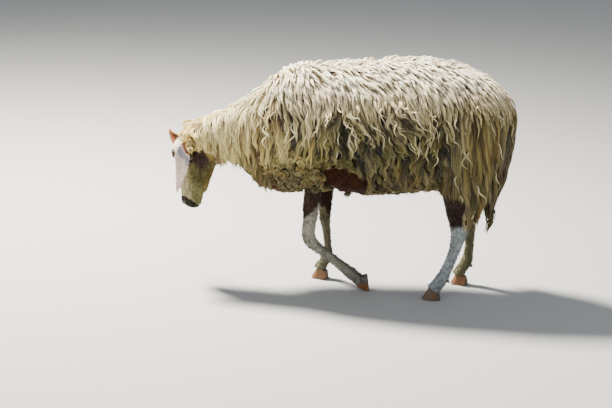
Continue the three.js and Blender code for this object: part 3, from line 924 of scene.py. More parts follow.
def head_colour(p):
    along, depth, side = ((p - POLL) @ HEAD_AXES.T).T
    out = np.abs(side)
    fine, spots = ripples(p, 9, 31), ripples(p, 22, 32)

    def from_spot(middle, half):
        """Distance from a spot's middle, 1 at its rim."""
        return np.hypot((along - middle[0]) / half[0], (depth - middle[1]) / half[1])

    # the face's white hair is painted green-grey all over as painted shade
    colour = shade("face", len(p))
    colour = blend(colour, SHADES["nose"], fade(depth + 4 * fine, 6, 26) * 0.85)
    # painted shade: a dull green-grey over the cheek
    olive_shade = from_spot((112, 76), (92, 66)) + 0.14 * spots
    colour = blend(colour, SHADES["cheek_olive_shade"], fade(olive_shade, 0.6, 1.15) * ease(out, 12, 26) * 0.92)
    # the dark cheek is partly a brown patch and partly painted shade
    cheek = from_spot((82, 68), (56, 48)) + 0.16 * spots + 0.05 * fine
    colour = blend(colour, SHADES["cheek"], fade(cheek, 0.6, 1.15) * 0.95 * ease(out, 20, 36))
    rear = depth / np.interp(along, SKULL_FINE[:, 0], SKULL_FINE[:, 2]) + 0.05 * fine
    jaw = ease(rear, 0.66, 0.95) * ease(along, 70, 120) * fade(along, 205, 235)
    colour = blend(colour, SHADES["jaw"], jaw * 0.55)
    # painted highlight: the sunlit brow is near white
    brow = from_spot((52, 14), (26, 22)) + 0.1 * fine
    colour = blend(colour, SHADES["brow"], fade(brow, 0.6, 1.1) * 0.8)
    ring = from_spot((EYE[0], EYE[1] + 3), (25, 20)) + 0.12 * fine
    colour = blend(colour, SHADES["eye_rim"], fade(ring, 0.75, 1.2) * ease(out, 34, 42) * 0.9)
    far_lid = from_spot((84, 13), (20, 23)) + 0.1 * fine
    colour = blend(colour, SHADES["eye_rim"], fade(far_lid, 0.7, 1.1) * ease(-side, 14, 26) * 0.9)
    # brown hair between the roots of the ears and in a fringe before the wool
    crown = fade(along + 3 * fine, 14, 30) * fade(side, 2, 20)
    fringe = fade(along - np.interp(depth, *HEAD_HEM) + 3 * fine, 22, 31)
    crown = np.maximum(crown, fringe * fade(depth, 20, 34))
    colour = blend(colour, SHADES["ear_brown"], crown * 0.85)
    # the dark band of the lips runs from the nostrils round the end of the muzzle to the chin
    nostril = from_spot((225, -2), (14, 10)) + 0.12 * fine
    band = (depth - 3) - (along - 223) - 5 - 2 * fine
    mouth = np.abs(depth - 43 - 0.06 * (236 - along)) - 0.6
    dark = np.maximum(fade(nostril, 0.7, 1.05) * ease(out, 4, 8), fade(band, 0, 4))
    dark = np.maximum(dark, fade(mouth, 0.3, 2.2) * ease(along, 226, 244) * 0.7)
    return blend(colour, SHADES["lip"], dark * 0.95)


def ear_colour(p, name):
    ear = EARS[name]
    place, across, out, _ = ear.local(p)
    share = place / (len(ear.centre) - 1)
    rim = np.abs(across) / np.maximum(ear.at(ear.half, place)[:, 0], 3)
    fine = ripples(p, 12, 41)
    if name == "ear_right":
        # the far ear shows its brown inner side, painted dark in the middle as painted shade and pale at
        # the rim as a painted highlight
        colour = blend(shade("ear_brown", len(p)), SHADES["ear_shaded_brown"],
                       0.75 + 0.3 * fine - 0.5 * ease(rim, 0.75, 1))
        return blend(colour, SHADES["straw"], ease(rim + 0.1 * fine, 0.82, 1.02) * 0.6)
    rear = -across / np.maximum(ear.at(ear.half, place)[:, 0], 3)
    # pinker towards the tip and along the rims: partly the ear's pink skin, partly painted light shining
    # through it
    colour = blend(shade("ear_white", len(p)), SHADES["ear_pink"],
                   ease(share, 0.72, 0.98) * 0.55 + ease(rim, 0.75, 1) * ease(share, 0.45, 0.6) * 0.3)
    streaks = ripples(np.stack([across, 26 * share, 0 * out], 1), 3.5, 43)
    colour = colour * (0.92 + 0.1 * streaks)[:, None]
    # painted shade: a bluish swath slants across the ear under its root
    swath = np.abs(share - 0.415 - 0.075 * rear + 0.015 * fine)
    colour = blend(colour, SHADES["ear_shade"], fade(swath, 0.025, 0.075) * 0.75)
    root = share - 0.315 - 0.075 * rear + 0.012 * fine
    colour = blend(colour, SHADES["ear_brown"], fade(root, 0.0, 0.03) * 0.95)
    return blend(colour, SHADES["cream"] * 0.9, fade(root, -0.085, -0.05) * 0.9)


def leg_colour(p, name):
    fine, spots = ripples(p, 10, 51), ripples(p, 34, 52)
    limb = LIMBS[name]
    place, _, out, _ = limb.local(p)
    z = p[:, 2]
    # the legs' white hair is painted grey, partly as painted shade
    if name.startswith("fore"):
        colour = blend(shade("leg", len(p)), SHADES["leg_grey"], np.clip(0.28 + 0.4 * spots, 0, 0.6))
        # painted shade: the far fore leg is dim and green-grey
        if name == "fore_right":
            colour = blend(colour, SHADES["olive_shade"], 0.5) * 0.65
        behind = ease(out, 4, 15) * fade(z, 150, 190)
        colour = blend(colour, SHADES["leg_grey"] * 0.6, behind * 0.6)
        edge = ease(z + 8 * spots + 5 * fine + 0.8 * out, 256, 272)
        if name == "fore_left":
            heel = ease(out, -2, 8) * ease(place, 24.5, 27)
            colour = blend(colour, SHADES["sole"], heel * 0.9)
            edge = ease(z + 12 * spots + 6 * fine - 0.95 * out, 276, 290)
        return blend(colour, SHADES["brown"], edge * 0.97)
    colour = blend(shade("leg_blue", len(p)), SHADES["leg_grey"], np.clip(0.1 + 0.25 * spots, 0, 0.4))
    # painted shade: the far hind leg is dim and green-grey
    if name == "hind_right":
        colour = blend(shade("leg", len(p)), SHADES["olive_shade"], 0.7) * 0.6
    front = fade(out + 5 * spots, 4, 18)
    above = ease(z + 5 * spots + 3 * fine, 236, 252) if name == "hind_left" else ease(z, 285, 300)
    colour = blend(colour, SHADES["brown"], front * above * 0.97)
    return blend(colour, SHADES["straw"], (1 - front) * ease(z, 215, 250) * 0.7)


def hair_colour(p, parts):
    """Colour of the short-haired parts."""
    colour = shade("patch", len(p))
    colour = blend(colour, SHADES["brown"], np.clip(0.25 + 0.35 * ripples(p, 18, 61), 0, 0.7))
    for name, on in by_part(parts):
        if name == "head":
            colour[on] = head_colour(p[on])
        elif name in EARS:
            colour[on] = ear_colour(p[on], name)
        elif name in LIMBS:
            colour[on] = leg_colour(p[on], name)
        elif name == "udder":
            colour[on] = SHADES["udder"]
    return colour


def body_colour(p, parts, wool):
    """Colour of the skin: hair colour where it shows, and where wool covers it the wool's colour in
    painted shade, yellowed as by yolk.
    """
    # painted shade under the wool, lighter on the top and at the head
    light = 0.26 + 0.3 * np.maximum(ease(p[:, 2], 560, 680), ease(-p[:, 0], 440, 500))
    deep = wool_colour(p) * light[:, None] * np.array([1.0, 0.88, 0.7])
    return blend(hair_colour(p, parts), deep, wool)


# ---------------------------------------------------------------- unwrap of the skin
# Each part of the skin has its own tile: along the part one way, round it the other.

TILES = {
    "trunk": (0.01, 0.01, 0.60, 0.60), "neck": (0.63, 0.01, 0.36, 0.20),
    "head": (0.63, 0.23, 0.36, 0.36), "hind_left": (0.01, 0.63, 0.24, 0.36),
    "hind_right": (0.26, 0.63, 0.24, 0.36), "fore_left": (0.51, 0.63, 0.12, 0.36),
    "fore_right": (0.64, 0.63, 0.12, 0.36), "tail": (0.77, 0.63, 0.10, 0.36),
    "ear_left": (0.88, 0.63, 0.05, 0.17), "ear_right": (0.94, 0.63, 0.05, 0.17),
    "udder": (0.88, 0.82, 0.11, 0.17),
}
PATCH = 0.003                        # size of one tuft's patch on the unwrap


def unwrapped(p, parts):
    """Place of each point on the skin's unwrap."""
    uv = np.zeros((len(p), 2))
    limbs = {**LIMBS, **EARS, "neck": NECK_LIMB, "tail": TAIL_LIMB}
    for name, on in by_part(parts):
        q = p[on]
        if name in limbs:
            place, across, out, _ = limbs[name].local(q)
            along, turn = place / (len(limbs[name].centre) - 1), np.arctan2(across, out)
        elif name == "head":
            q = (q - POLL) @ HEAD_AXES.T
            along, turn = q[:, 0] / 260, np.arctan2(q[:, 2], q[:, 1] - 55)
        elif name == "udder":
            along, turn = (q[:, 0] - 330) / 110, np.arctan2(q[:, 1], 322 - q[:, 2])
        else:
            along, turn = (q[:, 0] + 345) / 890, np.arctan2(q[:, 1], q[:, 2] - 525)
        u0, v0, du, dv = TILES[name]
        uv[on, 0] = u0 + du * np.clip(along, 0, 1)
        uv[on, 1] = v0 + dv * (turn / (2 * math.pi) + 0.5)
    return uv


def set_colour(mesh, name, colours):
    layer = mesh.attributes.new(name, "FLOAT_COLOR", "POINT")
    full = np.ones((len(colours), 4), np.float32)
    full[:, :3] = colours
    layer.data.foreach_set("color", full.ravel())


skin_points = drawn_points(skin).astype(float)
skin_parts = part_fields(skin_points)
skin_wool = wool_share(skin_points, skin_parts)
set_colour(skin.data, "coat", body_colour(skin_points, skin_parts, skin_wool))

# ---------------------------------------------------------------- long wool
# gap between roots, length, tip height over the skin, half width and half thickness of a lock,
# wave height and length, how far locks gather to a point, wander of the lie, strands round each,
# width of a clump and its height for each unit of width, how deeply clumps are parted, points
WOOL_COLUMNS = ("gap", "length", "height", "half", "wave", "gather", "wander", "strands", "clump",
                "tall", "parted", "points")
WOOL = {name: dict(zip(WOOL_COLUMNS, row)) for name, row in {
    "poll": (9, (20, 36), 11, (3.4, 2.8), (2.2, 24), 0.3, 0.5, 4, 18, 1.0, 0.4, 8),
    "neck": (13.5, (74, 116), 24, (6.8, 6.2), (3.4, 68), 0.75, 0.12, 6, 19, 3.2, 1.0, 8),
    "shoulder": (14, (92, 136), 33, (5.0, 3.8), (6.5, 58), 0.75, 0.34, 5, 30, 2.0, 1.0, 9),
    "chest": (15.5, (50, 66), 25, (5.2, 4.8), (0.6, 30), 0, 0.8, 3, 27, 1.0, 0.3, 12),
    "back": (12.8, (58, 92), 26, (3.6, 2.1), (2.6, 48), 0.2, 0.4, 6, 26, 1.0, 0.15, 6),
    "flank": (14, (52, 88), 31, (5.4, 3.4), (6.5, 44), 0.6, 0.8, 4, 27, 2.2, 1.0, 9),
    "belly": (17, (30, 48), 22, (6.4, 4.6), (4, 36), 0.4, 0.6, 3, 30, 1.0, 0.5, 8),
    "rump": (14, (100, 155), 31, (4.8, 3.6), (3, 95), 0.8, 0.15, 5, 27, 2.4, 0.85, 8),
    "tail": (11, (90, 135), 14, (4.0, 3.4), (2.5, 80), 0.5, 0.1, 4, 24, 2.0, 0.4, 8),
}.items()}
WOOL_NAMES = list(WOOL)
LOCK_POINTS = 14
LOCK_SIDES = 5
STRAND_SIDES = 3
HANGING = ("neck", "shoulder", "flank", "rump", "tail", "poll")
TWO_SIDED = ("shoulder", "back", "flank", "rump")
# share of the locks that are strays: thin, bright and curly
STRAYS = {"shoulder": 0.1, "back": 0.09, "flank": 0.3, "rump": 0.07}
STRAY_LOCK = {"length": (48, 104), "rise": (5, 13), "wave": (6, 17), "wave_length": (44, 84),
              "thick": 0.24, "strand": 0.62}
# curls of the chest: radius at the start, turns, share of the radius lost towards the tip
CURL = {"radius": (8.5, 13.5), "turns": 1.4, "tighter": 0.5}
# upright gaps between the locks: width, on the neck too, how much longer, share of the wool
SLITS = {"width": 13, "neck_width": 19, "flatten": 0.26, "quantiles": (0.66, 0.82)}
FOLD_PLACE = 298                     # x of the fold of the flank
SHORTEST_LOCK = 13
ROOTS = 0.035                        # roots tried for each square millimetre
TAIL_END = 196                       # height of the tail's longest hair
CHEST_TOP = 446                      # height where the shoulder's long locks give way to curls


def in_region(region, *names):
    """Which of the numbered regions are among those named."""
    return np.isin(region, [WOOL_NAMES.index(name) for name in names])


def region_values(name, region, index=None):
    """A value of the wool table for each region's number."""
    values = [WOOL[n][name] if index is None else WOOL[n][name][index] for n in WOOL_NAMES]
    return np.array(values, float)[region]


def spread_roots(obj, density, seed):
    """Random points on the skin's triangles: place, normal."""
    mesh = obj.data
    mesh.calc_loop_triangles()
    tri = np.empty(len(mesh.loop_triangles) * 3, np.int32)
    mesh.loop_triangles.foreach_get("vertices", tri)
    corner = drawn_points(obj).astype(float)[tri.reshape(-1, 3)]
    cross = np.cross(corner[:, 1] - corner[:, 0], corner[:, 2] - corner[:, 0])
    area = np.linalg.norm(cross, axis=1) / 2
    rng = np.random.default_rng(seed)
    pick = rng.choice(len(area), int(area.sum() * density), p=area / area.sum())
    a, b = np.sqrt(rng.random(len(pick))), rng.random(len(pick))
    share = np.stack([1 - a, a * (1 - b), a * b], 1)
    return (corner[pick] * share[..., None]).sum(1), unit(cross[pick])


def wool_region(p, normal, parts):
    """Number of the wool's region at each root."""
    x, _, z = p.T
    names, which = nearest_part(parts)
    part = np.array(names)[which]
    j = 14 * ripples(p, 60, 71)
    region = np.full(len(p), WOOL_NAMES.index("flank"))

    def put(mask, name):
        region[mask] = WOOL_NAMES.index(name)

    put((x + j < -60) & (z > 350), "shoulder")
    put((x + j > 305), "rump")
    put((z + j > 655) & (x > -190), "back")
    put((normal[:, 2] + 0.006 * j > 0.42) & (z > 540) & (x + j > -330), "back")
    put((normal[:, 2] < -0.55) & (x < 330), "belly")
    put((z + j < 476) & (x + j < 20) & (x > -330), "chest")
    put((part == "neck") | (x + j < -262), "neck")
    put((part == "head") | (part == "ear_left"), "poll")
    put(part == "tail", "tail")
    return region


def flank_fold(p):
    """1 in the upright fold before the thighs, 0 away from it."""
    middle = FOLD_PLACE + 6 * np.sin(p[:, 2] / 38)
    ends = ease(p[:, 2], 350, 390) * fade(p[:, 2], 560, 640)
    return np.exp(-((p[:, 0] - middle) / 11) ** 2) * ends * ease(np.abs(p[:, 1]), 60, 120)


def slits(p, region):
    """1 in the narrow upright gaps between the locks of the sides, 0 away from them."""
    flat = p * (1, 1, SLITS["flatten"])
    value = np.where(in_region(region, "neck"), ripples(flat, SLITS["neck_width"], 142),
                     ripples(flat, SLITS["width"], 141))
    narrow = ease(value, *np.quantile(value, SLITS["quantiles"]))
    return narrow * region_values("parted", region)


def wool_roots():
    """Evenly spread roots of the locks, with their normals and regions."""
    p, normal = spread_roots(skin, ROOTS, SEED)
    parts = part_fields(p)
    keep = wool_share(p, parts) > 0.5
    p, normal = p[keep], normal[keep]
    parts = {name: value[keep] for name, value in parts.items()}
    region = wool_region(p, normal, parts)
    gap = np.array([WOOL[n]["gap"] for n in WOOL_NAMES])[region]
    on_crest = (normal[:, 2] > 0.35) & in_region(region, "neck")
    gap = np.where(on_crest, 0.82 * gap, gap)
    cell = np.floor(p / gap[:, None]).astype(int)
    key = np.concatenate([cell, region[:, None]], 1)
    _, first = np.unique(key, axis=0, return_index=True)
    # roots that landed too close to one another are thinned once more
    rng = np.random.default_rng(SEED + 1)
    first = first[np.argsort(rng.random(len(first)))]
    kept = np.ones(len(first), bool)
    q = p[first]
    for chunk in np.array_split(np.arange(len(q)), 40):
        d = np.linalg.norm(q[chunk, None] - q[None], axis=2)
        close = (d < 0.55 * gap[first][chunk][:, None]) & (np.arange(len(q))[None] < chunk[:, None])
        kept[chunk] = ~close.any(1)
    first = first[kept]
    return p[first], normal[first], region[first], {n: v[first] for n, v in parts.items()}


def wool_lie(p, normal, wander):
    """Direction in which the wool lies at points of the coat."""
    x, y, z = p.T
    parting = y + 16 * ripples(np.stack([x, x * 0, x * 0], 1), 60, 81)
    aim = np.zeros_like(p)
    on_back = ease(z, 600, 720)
    aim[:, 0] = 0.10 + 0.75 * on_back * ease(x, -330, 40)
    aim[:, 1] = np.tanh(parting / 22) * (0.15 + 0.75 * on_back)
    aim[:, 2] = -1
    under = ease(-normal[:, 2], 0.45, 0.8)
    aim[:, 0] += under * 1.2
    aim[:, 2] *= 1 - 0.6 * under
    # wool on both sides of the flank's fold lies towards it
    beside = np.array([16, 0, 0])
    aim[:, 0] += 0.5 * flank_fold(p - beside) - 0.5 * flank_fold(p + beside)
    drift = np.stack([ripples(p, 55, 101 + i) for i in range(3)], 1)
    aim += wander[:, None] * drift * (1, 0.5, 0.7)
    flat = aim - normal * dot(aim, normal)[:, None]
    return unit(flat + 1e-3 * aim)


def grow_locks(root, normal, region, length, height, wander):
    """Centre lines of the locks, and the outward direction along each."""
    step = (length / (LOCK_POINTS - 1))[:, None]
    p = root - normal * 2
    line, outward = [p], [normal]
    heading = unit(normal * 0.8 + wool_lie(root, normal, wander))
    for k in range(1, LOCK_POINTS):
        share = k / (LOCK_POINTS - 1)
        p = p + heading * step
        above = body_field(p)
        out = gradient(p)
        lie = wool_lie(p, out, wander)
        want = height * (1 - (1 - share) ** 2.4)
        rise = np.clip((want - above) / step[:, 0], -0.9, 1.3)
        # where the body falls away beneath them, long locks hang straight down
        hang = ease(-out[:, 2], 0.05, 0.5) * ease(above, 4, 12)
        hang = hang * in_region(region, *HANGING)
        aim = lie * (1 - hang)[:, None] + np.array([0, 0, -1.0]) * hang[:, None]
        aim = unit(aim + out * (rise * (1 - 0.8 * hang))[:, None])
        heading = unit(heading * 0.45 + aim * 0.75)
        line.append(p)
        outward.append(out)
    return np.stack(line, 1), np.stack(outward, 1)


def curled(root, normal, lie, height):
    """Centre lines of short curls that lie in rings on the fleece, and their outward directions."""
    rng = np.random.default_rng(SEED + 5)
    n = len(root)
    share = np.linspace(0, 1, LOCK_POINTS)[None]
    beside = np.cross(lie, normal)
    hand = np.where(rng.random(n) < 0.5, -1, 1)[:, None]
    turn = rng.uniform(0, 2 * math.pi, n)[:, None] + 2 * math.pi * CURL["turns"] * share * hand
    radius = rng.uniform(*CURL["radius"], n)[:, None] * np.minimum(1, 0.3 + 3 * share)
    radius = radius * (1 - CURL["tighter"] * share)
    rise = height[:, None] * (1 - (1 - share) ** 3) - 2
    line = (root[:, None] + normal[:, None] * rise[..., None]
            + lie[:, None] * (radius * np.cos(turn) + 8 * share)[..., None]
            + beside[:, None] * (radius * np.sin(turn))[..., None])
    return line, np.repeat(normal[:, None], LOCK_POINTS, axis=1)


def lock_room(line, region):
    """How far each point of the locks is from the hem, the face, the ears and the bare patch."""
    p = line.reshape(-1, 3)
    kind = region.repeat(line.shape[1])
    room = p[:, 2] - wool_hem(p) - 7 * ripples(p, 20, 131)
    room = np.where(in_region(kind, "tail"), p[:, 2] - TAIL_END, room)
    over_chest = p[:, 2] - CHEST_TOP - 26 * ripples(p, 46, 133)
    hangs = in_region(kind, "shoulder") & (p[:, 0] < 20)
    room = np.where(hangs, np.minimum(room, over_chest), room)
    q = (p - POLL) @ HEAD_AXES.T
    face = near_box(q, (-40, -70, -130), (270, 138, 130)) & (skull_field(q) < 60)
    edge = np.interp(q[:, 1], *HEAD_HEM) + 5 + 5 * ripples(p, 14, 132)
    room = np.where(face, np.minimum(room, edge - q[:, 0]), room)
    for name, start, slant in (("ear_left", 0.30, 0.075), ("ear_right", 0.2, 0)):
        ear = EARS[name]
        close = near_box(p, ear.low, ear.high)
        place, across, _, _ = ear.local(p[close])
        rear = -across / np.maximum(ear.at(ear.half, place)[:, 0], 3)
        place = place / (len(ear.centre) - 1) - slant * np.clip(rear, -1, 1)
        above = ear.field(p[close])
        if name == "ear_left":
            # short wool still grows on this ear's root
            on_root = (above < 26) & (place < start)
            room[close] = np.where(on_root, np.maximum(room[close], 8), room[close])
        clear = np.where(place > start, above - 7, FAR)
        room[close] = np.minimum(room[close], clear)
    room = np.minimum(room, 50 * (0.5 - bare_patch(p)))
    return room.reshape(line.shape[:2])


def hem_reach(line, region, jitter):
    """Share of each lock that stays within the fleece's own edges."""
    room = lock_room(line, region) + jitter[:, None]
    room[:, :2] = np.maximum(room[:, :2], 0.5)
    over = room < 0
    last = line.shape[1] - 1
    first = np.where(over.any(1), over.argmax(1), last)
    rows = np.arange(len(line))
    before, after = room[rows, first - 1], room[rows, first]
    part = np.where(over.any(1), before / np.maximum(before - after, 1e-3), 1)
    return (first - 1 + np.clip(part, 0, 1)) / last


def frames_along(line, outward):
    """Unit directions across and out of each lock, at each of its points."""
    along = unit(np.gradient(line, axis=1))
    out = unit(outward - along * dot(outward, along)[..., None])
    return unit(np.cross(along, out)), out


def clumps(root, region):
    """For each lock the lock that leads its clump, and its distance from it in clump widths."""
    size, tall = region_values("clump", region), region_values("tall", region)
    q = root / np.stack([size, size, size * tall], 1)
    cell = np.concatenate([np.floor(q).astype(int), region[:, None]], 1)
    _, leader = np.unique(cell, axis=0, return_index=True)
    nearest, away = np.empty(len(root), int), np.empty(len(root))
    for chunk in np.array_split(np.arange(len(root)), 20):
        d = np.linalg.norm(q[chunk, None] - q[leader][None], axis=2)
        d = d + 9 * (region[chunk, None] != region[leader][None])
        nearest[chunk], away[chunk] = leader[d.argmin(1)], d.min(1)
    return nearest, away


def gather_locks(line, leader, size, share):
    """Locks lean on the lock that leads their clump, so that tips meet and gaps open between."""
    pull = share[:, None] * np.linspace(0, 1, line.shape[1])[None] ** 1.3
    away = line[leader] - line
    far = np.linalg.norm(away[:, -1], axis=1) > 2.6 * size
    return line + away * (pull * ~far[:, None])[..., None]


def resampled(values, count):
    """Values kept along each line, read at another number of places."""
    place = np.linspace(0, values.shape[1] - 1, count)
    i = np.minimum(place.astype(int), values.shape[1] - 2)
    t = (place - i).reshape((1, -1) + (1,) * (values.ndim - 2))
    return values[:, i] * (1 - t) + values[:, i + 1] * t


def tubes(line, across, out, half_across, half_out, sides):
    """Points and faces of many tapered tubes that end in a point."""
    count, rings = line.shape[:2]
    turn = 2 * math.pi * np.arange(sides) / sides
    ring = (line[:, :-1, None]
            + (across * half_across[..., None])[:, :-1, None] * np.cos(turn)[:, None]
            + (out * half_out[..., None])[:, :-1, None] * np.sin(turn)[:, None])
    points = np.concatenate([ring.reshape(count, -1, 3), line[:, -1:]], 1)
    size = points.shape[1]
    k, j = np.meshgrid(np.arange(rings - 2), np.arange(sides), indexing="ij")
    a, b = k * sides + j, k * sides + (j + 1) % sides
    quads = np.stack([a, b, b + sides, a + sides], -1).reshape(-1, 4)
    last = (rings - 2) * sides
    j = np.arange(sides)
    tips = np.stack([last + j, last + (j + 1) % sides, np.full(sides, size - 1)], 1)
    roots = np.arange(sides)[None, ::-1]
    start = (np.arange(count) * size)[:, None, None]
    faces = [(f[None] + start).reshape(-1, f.shape[1]) for f in (quads, tips, roots)]
    patch = np.concatenate([
        np.stack([(j / sides * np.ones((rings - 1, 1))).ravel(),
                  np.repeat(np.arange(rings - 1) / (rings - 1), sides)], 1), [[0.5, 1.0]]])
    return points.reshape(-1, 3), faces, patch - 0.5


def join_tubes(batches):
    """Several batches of tubes as one set of points, faces, colours and unwrap places."""
    points, faces, colours, places, start = [], {}, [], [], 0
    for batch in batches:
        xyz, parts, patch = tubes(*batch["shape"])
        points.append(xyz)
        for part in parts:
            faces.setdefault(part.shape[1], []).append(part + start)
        start += len(xyz)
        colours.append(batch["colour"].reshape(-1, 3))
        places.append((batch["uv"][:, None] + patch[None] * PATCH).reshape(-1, 2))
    faces = [np.concatenate(faces[size]) for size in sorted(faces)]
    return np.concatenate(points), faces, np.concatenate(colours), np.concatenate(places)


def set_values(mesh, name, kind, field, values):
    """An attribute of a mesh, with a value for each point."""
    layer = mesh.attributes.get(name) or mesh.attributes.new(name, kind, "POINT")
    layer.data.foreach_set(field, np.asarray(values, np.float32).ravel())


def set_unwrap(mesh, places):
    """The unwrap the coat's colours are kept on, from a place for each point."""
    layer = mesh.uv_layers.new(name="OFBake")
    corner = np.empty(len(mesh.loops), np.int32)
    mesh.loops.foreach_get("vertex_index", corner)
    layer.data.foreach_set("uv", places[corner].astype(np.float32).ravel())


def tube_colours(root, tip, rings, sides, curve):
    """Colours along each tube, from root to tip, for the points that `tubes` makes."""
    share = np.linspace(0, 1, rings) ** curve
    along = root[:, None] * (1 - share)[None, :, None] + tip[:, None] * share[None, :, None]
    return np.concatenate([along[:, :-1].repeat(sides, 1), along[:, -1:]], 1)


def waved(line, across, out, height, length, phase, wave_length):
    """Lines with a sideways wave that grows towards their tips."""
    share = np.linspace(0, 1, line.shape[1])[None]
    turn = 2 * math.pi * share * (length / wave_length)[:, None] + phase[:, None]
    grow = height[:, None] * share ** 0.8
    return (line + across * (grow * np.sin(turn))[..., None]
            + out * (0.45 * grow * np.sin(turn + 1.3))[..., None])


def stretched(line, reach):
    """Lines cut short or run on along their last direction, by a factor each."""
    last = line.shape[1] - 1
    place = np.linspace(0, 1, last + 1)[None] * reach[:, None] * last
    i = np.minimum(place.astype(int), last - 1)
    t = (place - i)[..., None]
    rows = np.arange(len(line))[:, None]
    return line[rows, i] * (1 - t) + line[rows, i + 1] * t


def planned_locks(rng):
    """Where each lock grows, which clump it belongs to and how long and high it is."""
    root, normal, region, parts = wool_roots()
    n = len(root)
    low, high = (region_values("length", region, i) for i in (0, 1))
    length = low + (high - low) * rng.random(n)
    full = region_values("height", region)
    height = full * rng.uniform(0.62, 1.05, n)
    leader, away = clumps(root, region)
    # the wool closes over the back, the crest of the neck and the poll
    lower = np.where(in_region(region, "neck", "shoulder"), 50, 0)
    closed = np.maximum(ease(normal[:, 2], 0.35, 0.65), 0.85 * ease(root[:, 2] - lower, 600, 680))
    closed = np.maximum(closed, 0.7 * in_region(region, "poll"))
    gap = slits(root, region) * (1 - closed)
    edge = ease(away, 0.3, 0.72) * (1 - closed)
    height = height * (1 - 0.6 * edge * region_values("parted", region)) * (1 - 0.65 * gap)
    chance = np.array([STRAYS.get(name, 0) for name in WOOL_NAMES])[region]
    chance = chance * np.where(in_region(region, "back"), fade(root[:, 2], 620, 660), 1)
    chance = chance * np.where(in_region(region, "flank"), ease(root[:, 2], 500, 560), 1)
    stray = (rng.random(n) < chance) & (gap < 0.3)
    length = np.where(stray, rng.uniform(*STRAY_LOCK["length"], n), length)
    height = np.where(stray, full + rng.uniform(*STRAY_LOCK["rise"], n), height)
    height = height * (1 - 0.9 * flank_fold(root)) * (0.4 + 0.6 * ease(root[:, 2], 225, 400))
    # the crest of the neck is as full as its sides
    crest = ease(normal[:, 2], 0.3, 0.7) * in_region(region, "neck")
    height = np.maximum(height, crest * full)
    return dict(root=root, normal=normal, region=region, length=length, height=height,
                leader=leader, edge=edge, gap=gap, closed=closed, stray=stray, parts=parts)


def kept_locks(lock, keep):
    """The locks that stay, each led by a lock that stays too."""
    number = np.cumsum(keep) - 1
    leader = number[np.where(keep[lock["leader"]], lock["leader"], np.arange(len(keep)))]
    lock["leader"] = np.clip(leader, 0, keep.sum() - 1)
    parts = {name: value[keep] for name, value in lock.pop("parts").items()}
    return dict({name: value[keep] for name, value in lock.items()}, parts=parts)


def lay_locks(rng, lock):
    """Locks with their centre lines: laid or curled, gathered in clumps and cut at the hems."""
    root, normal, region, stray = (lock[key] for key in ("root", "normal", "region", "stray"))
    n = len(root)
    near_fold = np.exp(-((root[:, 0] - FOLD_PLACE) / 38) ** 2)
    line, outward = grow_locks(root, normal, region, lock["length"], lock["height"],
                               region_values("wander", region) * (1 - 0.8 * near_fold))
    curly = in_region(region, "chest")
    lie = wool_lie(root, normal, np.ones(n))
    line[curly], outward[curly] = curled(*(v[curly] for v in (root, normal, lie, lock["height"])))
    size = region_values("clump", region) * (0.5 + 0.5 * region_values("tall", region))
    share = region_values("gather", region) * rng.uniform(0.7, 1.1, n) * ~stray
    line = gather_locks(line, lock["leader"], size, share)
    reach = hem_reach(line, region, rng.uniform(-6, 7, n))
    length = lock["length"] * np.minimum(reach, 1)
    lock.update(line=stretched(line, np.minimum(reach, 1)), outward=outward, length=length)
    # some locks that would fill the gaps between clumps are left out, and curls cut at a hem
    steep = fade(normal[:, 2], 0, 0.4)
    parted = ease(region_values("parted", region), 0.6, 0.85)
    dropped = rng.random(n) < 0.4 * steep * ease(lock["edge"], 0.5, 1) * parted
    return kept_locks(lock, (length > SHORTEST_LOCK) & (~dropped | stray) & ~(curly & (reach < 0.7)))


def wave_locks(rng, lock):
    """Waves of the locks, most of them in step with the clump's leader."""
    region, stray = lock["region"], lock["stray"]
    n = len(region)
    across, out = frames_along(lock["line"], lock["outward"])
    wave = region_values("wave", region, 0) * rng.uniform(0.5, 1.4, n)
    wave = np.where(stray, rng.uniform(*STRAY_LOCK["wave"], n), wave)
    phase = rng.uniform(0, 2 * math.pi, n)
    phase = np.where(rng.random(n) < 0.7, phase[lock["leader"]], phase)
    wave_length = region_values("wave", region, 1) * rng.uniform(0.8, 1.25, n)
    wave_length = np.where(stray, rng.uniform(*STRAY_LOCK["wave_length"], n), wave_length)
    line = waved(lock["line"], across, out, wave, lock["length"], phase, wave_length)
    across, out = frames_along(line, lock["outward"])
    lock.update(line=line, across=across, out=out, phase=phase)


